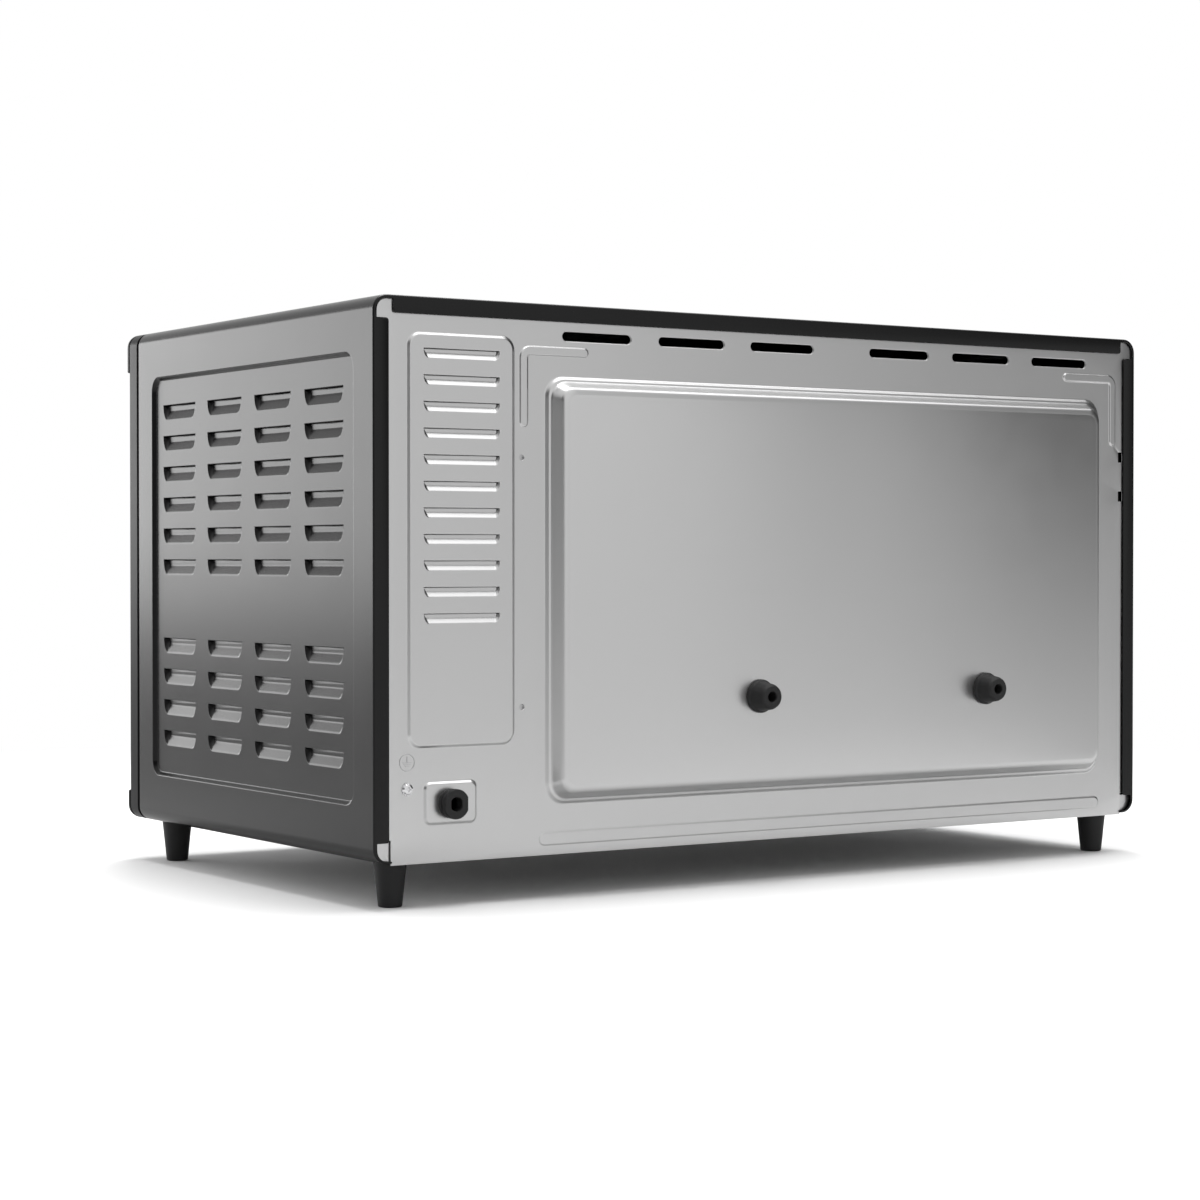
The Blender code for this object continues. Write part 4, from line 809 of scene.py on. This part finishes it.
def build_back_panel():
    sheet = SheetMesh(lambda x, z, w: (x, PANEL_Y + w, z))
    holes = [build_bulge(sheet)]
    for x in vent_centres():
        holes.append(build_vent(sheet, x))
    holes.append(build_louvre_field(sheet))
    holes += build_beads(sheet)
    holes.append(build_gland_pad(sheet))
    for height in SCREW_HOLE_HEIGHTS:
        spot = (BODY_X + SCREW_HOLE_OFFSET, BASE_Z + height)
        rim = [(0, 0), (0.00012, -0.0001), (0.00015, -SCREW_HOLE_DEPTH)]
        radius = SCREW_HOLE_RADIUS + 0.0001
        holes.append(sheet.pressed(lambda s: circle(*spot, radius - s, 18), rim)[0])
    for height in TAB_SLOT_HEIGHTS:
        x = -HALF_WIDTH + TAB_SLOT_MARGIN
        z = BASE_Z + height
        outline = rounded(x - 0.0018, x + 0.0016, z - TAB_SLOT_HALF, z + TAB_SLOT_HALF, 0.0002, 1)
        holes.append(sheet.ring(outline, 0))
    sheet.fill(sheet.ring(back_outline(), 0), *holes)
    panel = sheet.finish("back_sheet", ZINC)
    panel.data.materials.append(DRAWN_ZINC)
    stands_for(panel, "rear_panel")


def vent_centres():
    offsets = [VENT_GROUP_OFFSET + i * VENT_PITCH for i in range(VENTS_PER_GROUP)]
    return [BODY_X - VENT_SHIFT + side * offset for side in (-1, 1) for offset in offsets]


def build_vent(sheet, x):
    z = TOP_Z - VENT_TOP_MARGIN
    rim = [(0, 0), (0.00015, -0.0001), (0.0002, -0.0006)]
    span = (VENT_LENGTH + 0.0003, VENT_HEIGHT + 0.0003)
    return sheet.pressed(lambda s: slot_outline(x, z, span[0] - 2 * s, span[1] - 2 * s), rim)[0]


def build_louvre_field(sheet):
    def outline(shrink):
        return rounded(
            HALF_WIDTH - FIELD_LEFT_MARGIN + shrink,
            HALF_WIDTH - FIELD_RIGHT_MARGIN - shrink,
            BASE_Z + FIELD_LOW_MARGIN + shrink,
            TOP_Z - FIELD_TOP_MARGIN - shrink,
            FIELD_RADIUS - shrink,
        )

    first, last = sheet.pressed(outline, bead_profile(FIELD_WALL))
    x = HALF_WIDTH - (FIELD_LEFT_MARGIN + FIELD_RIGHT_MARGIN) / 2
    size = (
        BACK_LOUVRE_LENGTH,
        BACK_LOUVRE_HEIGHT,
        BACK_LOUVRE_DEPTH,
        BACK_LOUVRE_LAND,
        BACK_LOUVRE_TAPER,
    )
    rows = [TOP_Z - BACK_LOUVRE_TOP_MARGIN - i * BACK_LOUVRE_PITCH for i in range(BACK_LOUVRES)]
    sheet.fill(last, *[sheet.louvre((x, z), size, PRESSING_OUT) for z in rows])
    return first


def build_beads(sheet):
    """Raised beads: an L at each top corner of the bulge and a straight one below it."""
    made = []
    top = TOP_Z - BEAD_TOP_MARGIN
    for side in (-1, 1):
        x = BODY_X - BEAD_SHIFT + side * BEAD_OFFSET
        path = [(x, top - BEAD_ARM), (x, top), (x - side * BEAD_ARM, top)]
        made.append(build_bead(sheet, path, BEAD_WIDTH, BEAD_OUT))
    half = (RIGHT_WALL[1].x - LEFT_WALL[0].x) / 2
    reach = half - FOOT_BEAD_MARGIN - FOOT_BEAD_END_MARGIN
    z = BASE_Z + FOOT_BEAD_HEIGHT
    path = [(BODY_X - reach, z), (BODY_X + reach, z)]
    made.append(build_bead(sheet, path, FOOT_BEAD_MARGIN, FOOT_BEAD_OUT))
    return made


def build_bead(sheet, path, width, rise):
    half = width / 2
    first, last = sheet.pressed(lambda s: stroke(path, half - s), bead_profile(BEAD_WALL, rise))
    sheet.fill(last)
    return first


def build_gland_pad(sheet):
    x = sum(corner.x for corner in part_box("cord_gland")) / 2
    z = BASE_Z + PAD_CENTRE_HEIGHT

    def outline(shrink):
        w = PAD_WIDTH / 2 - shrink
        h = PAD_HEIGHT / 2 - shrink
        return rounded(x - w, x + w, z - h, z + h, PAD_RADIUS - shrink)

    first, last = sheet.pressed(outline, bead_profile(PAD_WALL))
    sheet.fill(last)
    return first


# Turned and moulded pieces


def build_gland():
    """The grommet: a round collar, a groove and a head with two flats, and a keyed bore."""
    low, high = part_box("cord_gland")
    centre = Vector(((low.x + high.x) / 2, PANEL_Y + PRESSING_OUT, (low.z + high.z) / 2))
    out = high.y - centre.y - GLAND_SETBACK
    sheet = SheetMesh(lambda x, z, w: (centre.x + x, centre.y + w, centre.z + z))

    def shape(radius, flat):
        points = circle(0, 0, radius, 72)
        return [(max(-flat, min(flat, x)), z) for x, z in points]

    stages = [(0.0079, 0.0079, 0.0), (0.0079, 0.0079, 0.0008), (0.0076, 0.0076, 0.0012)]
    stages += [(0.0074, 0.0074, 0.0014), (0.0066, 0.0066, 0.0016), (0.0066, 0.0066, 0.0028)]
    stages += [(0.0078, 0.0070, 0.0031), (0.0081, 0.0073, 0.0034), (0.0081, 0.0073, out - 0.0006)]
    stages += [(0.0077, 0.0069, out), (0.0040, 0.0035, out), (0.0038, 0.0033, out - 0.0003)]
    stages += [(0.0038, 0.0033, out - 0.0130)]
    rings = [sheet.ring(shape(radius, flat), w) for radius, flat, w in stages]
    sheet.skin(rings)
    sheet.bm.faces.new(rings[-1])
    sheet.bm.faces.new(rings[0])
    stands_for(sheet.finish("gland", RUBBER, thickness=0, angle=40), "cord_gland")


def build_feet():
    for node in ("foot_front_left", "foot_front_right", "foot_back_left", "foot_back_right"):
        low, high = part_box(node)
        top = (high.x - low.x) / 2
        tip = top - 0.0024
        rise = high.z
        profile = [(tip - 0.0012, 0), (tip - 0.0005, 0.0002), (tip - 0.0001, 0.0006), (tip, 0.0014)]
        profile += [(top - 0.00015, rise - 0.0022), (top, rise - 0.0016), (top, rise + FOOT_STUB)]
        centre = ((low.x + high.x) / 2, (low.y + high.y) / 2, 0)
        stands_for(lathe(f"{node}_rubber", profile, centre, "Z", RUBBER), node)


def build_bumpers():
    for node in ("rear_bumper_left", "rear_bumper_right"):
        low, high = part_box(node)
        base = (high.x - low.x) / 2
        length = high.y - low.y
        tip = base - 0.0031
        profile = [(base - 0.0004, -0.0004), (base, 0.0004), (base, 0.0018), (base - 0.0004, 0.0026)]
        profile += [(base - 0.0011, 0.0032), (tip + 0.0009, length - 0.0022)]
        profile += [(tip + 0.0003, length - 0.0007), (tip - 0.0005, length), (0.0034, length)]
        profile += [(0.0030, length - 0.0004), (0.0030, 0.004)]
        centre = ((low.x + high.x) / 2, low.y, (low.z + high.z) / 2)
        stands_for(lathe(f"{node}_rubber", profile, centre, "Y", RUBBER), node)


def build_earth():
    """Cross-slotted earth screw with a serrated washer, and the stamped earth mark above it."""
    low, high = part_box("earth_screw")
    centre = Vector(((low.x + high.x) / 2, PANEL_Y, (low.z + high.z) / 2))
    sheet = SheetMesh(lambda x, z, w: (centre.x + x, centre.y + w, centre.z + z))
    teeth = 14
    zigzag = [(0.0031, 0.0037)[i % 2] for i in range(2 * teeth)]
    washer = [
        (r * math.cos(math.pi * i / teeth), r * math.sin(math.pi * i / teeth))
        for i, r in enumerate(zigzag)
    ]
    rings = [sheet.ring(washer, 0.0001), sheet.ring(washer, 0.0006)]
    sheet.strip(*rings)
    sheet.fill(rings[1])
    rings = []
    for radius, w in ((0.0030, 0.0005), (0.0030, 0.0012), (0.0026, 0.0018), (0.0018, 0.0021)):
        rings.append(sheet.ring(circle(0, 0, radius, 40), w))
    sheet.skin(rings)
    a, b = 0.00035, 0.0014
    cross = [(-a, -b), (a, -b), (a, -a), (b, -a), (b, a), (a, a), (a, b), (-a, b), (-a, a)]
    cross += [(-b, a), (-b, -a), (-a, -a)]
    mouth = sheet.ring(cross, 0.0021)
    floor_ring = sheet.ring(cross, 0.0010)
    sheet.fill(rings[-1], mouth)
    sheet.strip(mouth, floor_ring)
    sheet.fill(floor_ring)
    stands_for(sheet.finish("earth_screw_head", CHROME, thickness=0, angle=30), "earth_screw")
    build_earth_mark(centre.x)


def build_earth_mark(x):
    z = BASE_Z + EARTH_MARK_HEIGHT
    sheet = SheetMesh(lambda u, v, w: (x + u, PANEL_Y + w, z + v))
    rise = 0.0003
    outer = [(0.0048, 0), (0.0047, rise), (0.0043, rise), (0.0042, 0)]
    rings = [sheet.ring(circle(0, 0, radius, 40), w) for radius, w in outer]
    sheet.skin(rings)
    bars = [((0, 0.0030), (0, 0.0002))]
    bars += [((-w, v), (w, v)) for w, v in ((0.0026, 0.0), (0.0018, -0.0010), (0.0010, -0.0020))]
    for ends in bars:
        outline = stroke(ends, EARTH_BAR_HALF, 4)
        low_ring = sheet.ring(outline, 0)
        top_ring = sheet.ring(outline, rise)
        sheet.strip(low_ring, top_ring)
        sheet.fill(top_ring)
    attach(sheet.finish("earth_mark", SHEETING, thickness=0), "oven_body")


# Front


def slab(name, outlines, y0, y1, material, bevel=0.0008, segments=4):
    """A plate in the XZ plane between two depths: its first outline is its edge, the rest are holes."""
    sheet = SheetMesh(lambda x, z, y: (x, y, z))
    fronts = [sheet.ring(outline, y0) for outline in outlines]
    backs = [sheet.ring(outline, y1) for outline in outlines]
    for ring_a, ring_b in zip(fronts, backs):
        sheet.strip(ring_a, ring_b)
    sheet.fill(*fronts)
    sheet.fill(*backs)
    bmesh.ops.recalc_face_normals(sheet.bm, faces=sheet.bm.faces)
    flat = math.radians(0.5)
    bmesh.ops.dissolve_limit(sheet.bm, angle_limit=flat, verts=sheet.bm.verts, edges=sheet.bm.edges)
    obj = mesh_object(name, sheet.bm, material)
    edge = obj.modifiers.new("Edges", "BEVEL")
    edge.width = bevel
    edge.segments = segments
    edge.limit_method = "ANGLE"
    edge.angle_limit = math.radians(40)
    obj.modifiers.new("Even shading", "WEIGHTED_NORMAL").keep_sharp = False
    return obj


def rect(x0, x1, z0, z1):
    return [(x0, z0), (x1, z0), (x1, z1), (x0, z1)]


def build_front():
    """The frame's moulded edge, its rebate, and the two proud trims."""
    rebate = 0.002
    radius = CORNER_RADIUS
    outer = rounded(-HALF_WIDTH, HALF_WIDTH, BASE_Z, TOP_Z, radius, CORNER_STEPS)
    door_low, door_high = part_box("door_frame")
    panel_low, panel_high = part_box("control_panel")
    tray_low, tray_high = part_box("crumb_tray")
    gap = 0.001
    fit = 0.0003
    door_hole = rect(door_low.x - gap, door_high.x + gap, door_low.z - gap, door_high.z + gap)
    panel_hole = rect(panel_low.x - fit, panel_high.x + fit, panel_low.z - fit, panel_high.z + fit)
    lip = 0.0014
    slot = rect(tray_low.x + lip, tray_high.x - lip, tray_low.z + 0.0006, tray_high.z - 0.0009)
    front = slab(
        "frame_face",
        [outer, door_hole, panel_hole, slot],
        FRAME_LOW.y,
        FRONT_Y - rebate,
        PLASTIC,
        bevel=0.0006,
    )
    stands_for(front, "front_frame")
    inner = 0.0016
    edge = HALF_WIDTH - inner
    neck = rounded(-edge, edge, BASE_Z + inner, TOP_Z - inner, radius - inner, CORNER_STEPS)
    collar = slab(
        "frame_collar",
        [neck, door_hole, panel_hole, slot],
        FRONT_Y - rebate,
        FRAME_HIGH.y,
        PLASTIC,
        bevel=0.0003,
    )
    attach(collar, "oven_body")
    for node in ("top_trim", "bottom_trim"):
        low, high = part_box(node)
        if node == "top_trim":
            outline = [(-HALF_WIDTH, low.z), (HALF_WIDTH, low.z)]
            outline += arc(HALF_WIDTH - radius, TOP_Z - radius, radius, 0, 90, CORNER_STEPS)
            outline += arc(-HALF_WIDTH + radius, TOP_Z - radius, radius, 90, 180, CORNER_STEPS)
            outlines = [outline]
        else:
            outline = arc(HALF_WIDTH - radius, BASE_Z + radius, radius, -90, 0, CORNER_STEPS)
            outline += [(HALF_WIDTH, high.z), (-HALF_WIDTH, high.z)]
            outline += arc(-HALF_WIDTH + radius, BASE_Z + radius, radius, 180, 270, CORNER_STEPS)
            outlines = [outline, slot]
        stands_for(slab(f"{node}_band", outlines, low.y, high.y, PLASTIC, bevel=0.0011), node)


def build_knob(name):
    """A fluted skirt with a raised grip bar and a painted pointer."""
    low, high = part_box(f"{name}_knob")
    centre = Vector(((low.x + high.x) / 2, high.y, (low.z + high.z) / 2))
    radius = (high.x - low.x) / 2
    depth = high.y - low.y
    sheet = SheetMesh(lambda x, z, w: (centre.x + x, centre.y - w, centre.z + z))

    def skirt(inset, flute):
        """A circle inside the knob's radius, whose edge dips by flute between its ridges."""
        points = []
        for i in range(SKIRT_POINTS):
            turn = 2 * math.pi * i / SKIRT_POINTS
            r = radius - inset - flute * (0.5 + 0.5 * math.cos(FLUTES * turn))
            points.append((r * math.cos(turn), r * math.sin(turn)))
        return points

    stages = [(0.0006, 0, 0), (0, 0, 0.0006), (0, 0, 0.0034), (0.0006, 0, 0.0042)]
    stages += [(0.0014, 0.0002, 0.0048), (0.0018, 0.0005, 0.0062), (0.0036, 0.0005, 0.0118)]
    stages += [(0.0044, 0.0002, 0.0130), (0.0056, 0, 0.0135)]
    rings = [sheet.ring(skirt(inset, flute), w) for inset, flute, w in stages]
    sheet.skin(rings)
    sheet.bm.faces.new(rings[-1])
    sheet.bm.faces.new(rings[0])
    reach = radius - GRIP_MARGIN

    def grip(shrink):
        half = GRIP_HALF_WIDTH - shrink
        corner = GRIP_RADIUS - shrink * 0.8
        return rounded(-half, half, -reach + shrink, reach - shrink, corner, 6)

    profile = [(0, 0.0045), (0.0001, depth - 0.0022), (0.0006, depth - 0.0008), (0.0016, depth)]
    first, last = sheet.pressed(grip, profile)
    sheet.bm.faces.new(last)
    sheet.bm.faces.new(first)
    knob = sheet.finish(f"{name}_knob_moulding", PLASTIC, thickness=0, angle=36)
    stands_for(knob, f"{name}_knob")
    pointer = SheetMesh(lambda x, z, w: (centre.x + x, centre.y - w, centre.z + z))
    outline = slot_outline(0, 0, POINTER_LENGTH, POINTER_WIDTH, 6)
    outline = [(v, u + reach - 0.0060) for u, v in outline]
    rings = [pointer.ring(outline, depth - 0.0002), pointer.ring(outline, depth + PRINT_LIFT)]
    pointer.strip(*rings)
    pointer.fill(rings[-1])
    mark = pointer.finish(f"{name}_pointer", PRINT, thickness=0)
    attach(mark, f"{name}_control")


def build_dial(name, start, end, ticks):
    """Printed ticks round a knob on the control panel, over the knob's travel."""
    low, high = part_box(f"{name}_knob")
    x0, z0 = (low.x + high.x) / 2, (low.z + high.z) / 2
    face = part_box("control_panel")[0].y
    radius = (high.x - low.x) / 2 + 0.0022
    sheet = SheetMesh(lambda x, z, w: (x, face - w, z))
    for i in range(ticks):
        angle = math.radians(90 - (start + (end - start) * i / (ticks - 1)))
        major = i % 3 == 0
        length = 0.0036 if major else 0.0022
        out = (math.cos(angle), math.sin(angle))
        ends = [(x0 + out[0] * r, z0 + out[1] * r) for r in (radius, radius + length)]
        outline = stroke(ends, 0.00035 if major else 0.00022, 3)
        rings = [sheet.ring(outline, -0.00005), sheet.ring(outline, 0.00006)]
        sheet.strip(*rings)
        sheet.fill(rings[-1])
    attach(sheet.finish(f"{name}_dial_print", PRINT, thickness=0), "oven_body")


def build_handle():
    """A drawn bar with rounded ends on two turned posts."""
    low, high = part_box("handle_bar")
    sheet = SheetMesh(lambda y, z, x: (x, y, z))


    def outline(shrink):
        corner = HANDLE_RADIUS - shrink
        return rounded(low.y + shrink, high.y - shrink, low.z + shrink, high.z - shrink, corner, 10)

    ends = [(0.0018, 0.0), (0.0008, 0.0003), (0.0002, 0.0010), (0.0, 0.0020)]
    stages = [(s, low.x + x) for s, x in ends] + [(s, high.x - x) for s, x in reversed(ends)]
    rings = [sheet.ring(outline(s), x) for s, x in stages]
    sheet.skin(rings)
    sheet.bm.faces.new(rings[0])
    sheet.bm.faces.new(rings[-1])
    stands_for(sheet.finish("handle_grip", ALUMINIUM, thickness=0, angle=50), "handle_bar")
    for side in ("left", "right"):
        node = f"handle_post_{side}"
        low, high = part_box(node)
        r = (high.x - low.x) / 2
        length = high.y - low.y
        profile = [(r - 0.0024, 0), (r - 0.0016, 0.0004), (r - 0.0015, length - 0.0045)]
        profile += [(r - 0.0010, length - 0.0022), (r - 0.0002, length - 0.0012), (r, length)]
        centre = ((low.x + high.x) / 2, low.y, (low.z + high.z) / 2)
        stands_for(lathe(f"{node}_turned", profile, centre, "Y", ALUMINIUM), node)


FINISHES = {
    "base_plate": ZINC,
    "cavity_left_wall": SHEETING,
    "cavity_right_wall": SHEETING,
    "cavity_top": SHEETING,
    "upper_heating_element": SHEATH,
    "lower_heating_element": SHEATH,
    "upper_front_bushing": CERAMIC,
    "upper_back_bushing": CERAMIC,
    "lower_front_bushing": CERAMIC,
    "lower_back_bushing": CERAMIC,
    "thermostat_sensor": BRASS,
    "timer_bell": BRASS,
    "wiring_harness": RUBBER,
    "indicator_lamp": GLASS,
    "door_hinge_pin_left": CHROME,
    "door_hinge_pin_right": CHROME,
    "temperature_shaft": SHEETING,
    "function_shaft": SHEETING,
    "timer_shaft": SHEETING,
    "wire_rack": CHROME,
    "baking_tray": ENAMEL,
    "crumb_tray": ZINC,
    "indicator_lens": JEWEL,
}

SOFTENED = {
    "door_frame": (PLASTIC, 0.0012),
    "door_glass_retainer": (SHEETING, 0.0003),
    "door_glass": (GLASS, 0.0005),
    "control_panel": (PLASTIC, 0.0005),
    "thermostat_body": (SHEETING, 0.0006),
    "function_switch": (PLASTIC, 0.0006),
    "timer_body": (PLASTIC, 0.0006),
    "terminal_block": (CERAMIC, 0.0008),
    "upper_element_clip": (SHEETING, 0.0002),
    "lower_element_clip": (SHEETING, 0.0002),
}


def finish_nodes():
    for node, material in FINISHES.items():
        mesh = NODES[node].data
        mesh.materials.clear()
        mesh.materials.append(material)
    for node, (material, width) in SOFTENED.items():
        softened(node, material, width)


# Studio

FLOOR_REACH = 12.0
FLOOR_FADE = (0.55, 1.1)
FLOOR_GLOW = 0.72
FLOOR_BOUNCE = 0.52
FLOOR_TONE = 0.86
KEY_RADIANCE = 3.7
KEY_DISTANCE = 3.0
KEY_TURN = 27
KEY_SIZE = (2.6, 0.95)
KEY_BOTTOM = 0.10
TOP_RADIANCE = 13.0
TOP_SPOT = (0.12, 0.0, 2.6)
TOP_SIZE = (0.9, 0.9)
FRONT_RADIANCE = 7.0
FRONT_SPOT = (-0.45, -0.8, 2.2)
FRONT_SIZE = (1.0, 1.0)
WORLD_LEVEL = 0.85


def build_floor():
    """A pale floor that fades into plain white away from the oven.
    It throws back less light than the camera sees on it, so that it doesn't flood the oven."""
    bm = bmesh.new()
    bmesh.ops.create_grid(bm, x_segments=1, y_segments=1, size=FLOOR_REACH)
    s = Shader("studio_floor")
    seen = s.node("ShaderNodeLightPath").outputs["Is Camera Ray"]
    s.colour(s.blend(seen, (FLOOR_BOUNCE,) * 3, (FLOOR_TONE,) * 3))
    s.roughness(s.noise(2, 2), 0.75, 0.8)
    away = s.node("ShaderNodeVectorMath", operation="LENGTH")
    s.wire(s.place, away.inputs[0])
    fade = s.node("ShaderNodeMapRange", interpolation_type="SMOOTHSTEP")
    fade.inputs["From Min"].default_value = FLOOR_FADE[0]
    fade.inputs["From Max"].default_value = FLOOR_FADE[1]
    s.wire(away.outputs["Value"], fade.inputs["Value"])
    glow = s.node("ShaderNodeEmission")
    s.wire(s.spread(seen, FLOOR_GLOW, 1.0), glow.inputs["Strength"])
    mix = s.node("ShaderNodeMixShader")
    s.wire(fade.outputs["Result"], mix.inputs[0])
    s.wire(s.surface.outputs[0], mix.inputs[1])
    s.wire(glow.outputs[0], mix.inputs[2])
    s.wire(mix.outputs[0], s.tree.nodes["Material Output"].inputs["Surface"])
    mesh_object("studio_floor", bm, s.material)


def area_light(name, spot, aim, size, radiance):
    """A soft box: its power follows from the brightness of its face."""
    data = bpy.data.lights.new(name, "AREA")
    data.shape = "RECTANGLE"
    data.size, data.size_y = size
    data.energy = radiance * math.pi * size[0] * size[1]
    light = link(bpy.data.objects.new(name, data))
    light.location = spot
    light.rotation_euler = (Vector(aim) - Vector(spot)).to_track_quat("-Z", "Y").to_euler()
    light.visible_camera = False
    return light


def build_lights():
    turn = math.radians(KEY_TURN)
    height = KEY_SIZE[1] / 2 + KEY_BOTTOM
    spot = (KEY_DISTANCE * math.sin(turn), -KEY_DISTANCE * math.cos(turn), height)
    area_light("key_softbox", spot, (0, 0, height), KEY_SIZE, KEY_RADIANCE)
    area_light("top_softbox", TOP_SPOT, (0, 0, 0), TOP_SIZE, TOP_RADIANCE)
    area_light("front_softbox", FRONT_SPOT, (0, 0, 0), FRONT_SIZE, FRONT_RADIANCE)


# Quarters of the surround: direction, cosines where each begins and is complete, brightness there
QUARTERS = (
    ((-0.984, 0.140, 0.110), 0.656, 0.839, 0.02),
    ((0.85, 0.53, 0.0), 0.707, 0.906, 0.12),
    ((-0.32, 0.0, 0.947), 0.80, 0.93, 3.2),
)


def build_world():
    """An even surround with two dark quarters and a bright one; the camera sees it as plain white."""
    world = bpy.data.worlds.new("studio")
    bpy.context.scene.world = world
    world.use_nodes = True
    tree = world.node_tree
    tree.nodes.clear()
    new, wire = tree.nodes.new, tree.links.new
    place = new("ShaderNodeTexCoord").outputs["Generated"]
    strength = None
    for direction, start, full, level in QUARTERS:
        dot = new("ShaderNodeVectorMath")
        dot.operation = "DOT_PRODUCT"
        dot.inputs[1].default_value = Vector(direction).normalized()
        wire(place, dot.inputs[0])
        ramp = new("ShaderNodeMapRange")
        ramp.interpolation_type = "SMOOTHSTEP"
        ramp.inputs["From Min"].default_value = start
        ramp.inputs["From Max"].default_value = full
        ramp.inputs["To Min"].default_value = 1.0
        ramp.inputs["To Max"].default_value = level
        wire(dot.outputs["Value"], ramp.inputs["Value"])
        if strength is None:
            strength = ramp.outputs["Result"]
            continue
        both = new("ShaderNodeMath")
        both.operation = "MULTIPLY"
        wire(strength, both.inputs[0])
        wire(ramp.outputs["Result"], both.inputs[1])
        strength = both.outputs[0]
    level = new("ShaderNodeMath")
    level.operation = "MULTIPLY"
    level.inputs[1].default_value = WORLD_LEVEL
    wire(strength, level.inputs[0])
    lit = new("ShaderNodeBackground")
    wire(level.outputs[0], lit.inputs["Strength"])
    plain = new("ShaderNodeBackground")
    plain.inputs["Strength"].default_value = 1.0
    for shader in (lit, plain):
        shader.inputs["Color"].default_value = (1, 1, 1, 1)
    seen = new("ShaderNodeLightPath")
    mix = new("ShaderNodeMixShader")
    wire(seen.outputs["Is Camera Ray"], mix.inputs[0])
    wire(lit.outputs[0], mix.inputs[1])
    wire(plain.outputs[0], mix.inputs[2])
    wire(mix.outputs[0], new("ShaderNodeOutputWorld").inputs["Surface"])


def build_camera():
    """Stands behind the oven, out to its control side, looking slightly down."""
    data = bpy.data.cameras.new("camera")
    data.lens = LENS
    data.sensor_width = SENSOR_WIDTH
    camera = link(bpy.data.objects.new("camera", data))
    camera.location = CAMERA_PLACE
    camera.rotation_euler = (math.radians(90 - CAMERA_DIP), 0, math.radians(180 - CAMERA_TURN))
    bpy.context.scene.camera = camera
    view = bpy.context.scene.view_settings
    view.view_transform = "Standard"
    view.look = "None"


build_wrap()
build_back_panel()
build_gland()
build_feet()
build_bumpers()
build_earth()
build_front()
build_handle()
for control in ("temperature", "function", "timer"):
    build_knob(control)
build_dial("temperature", 0, 290, 13)
build_dial("function", 0, 240, 5)
build_dial("timer", -30, 300, 13)
finish_nodes()
build_floor()
build_lights()
build_world()
build_camera()
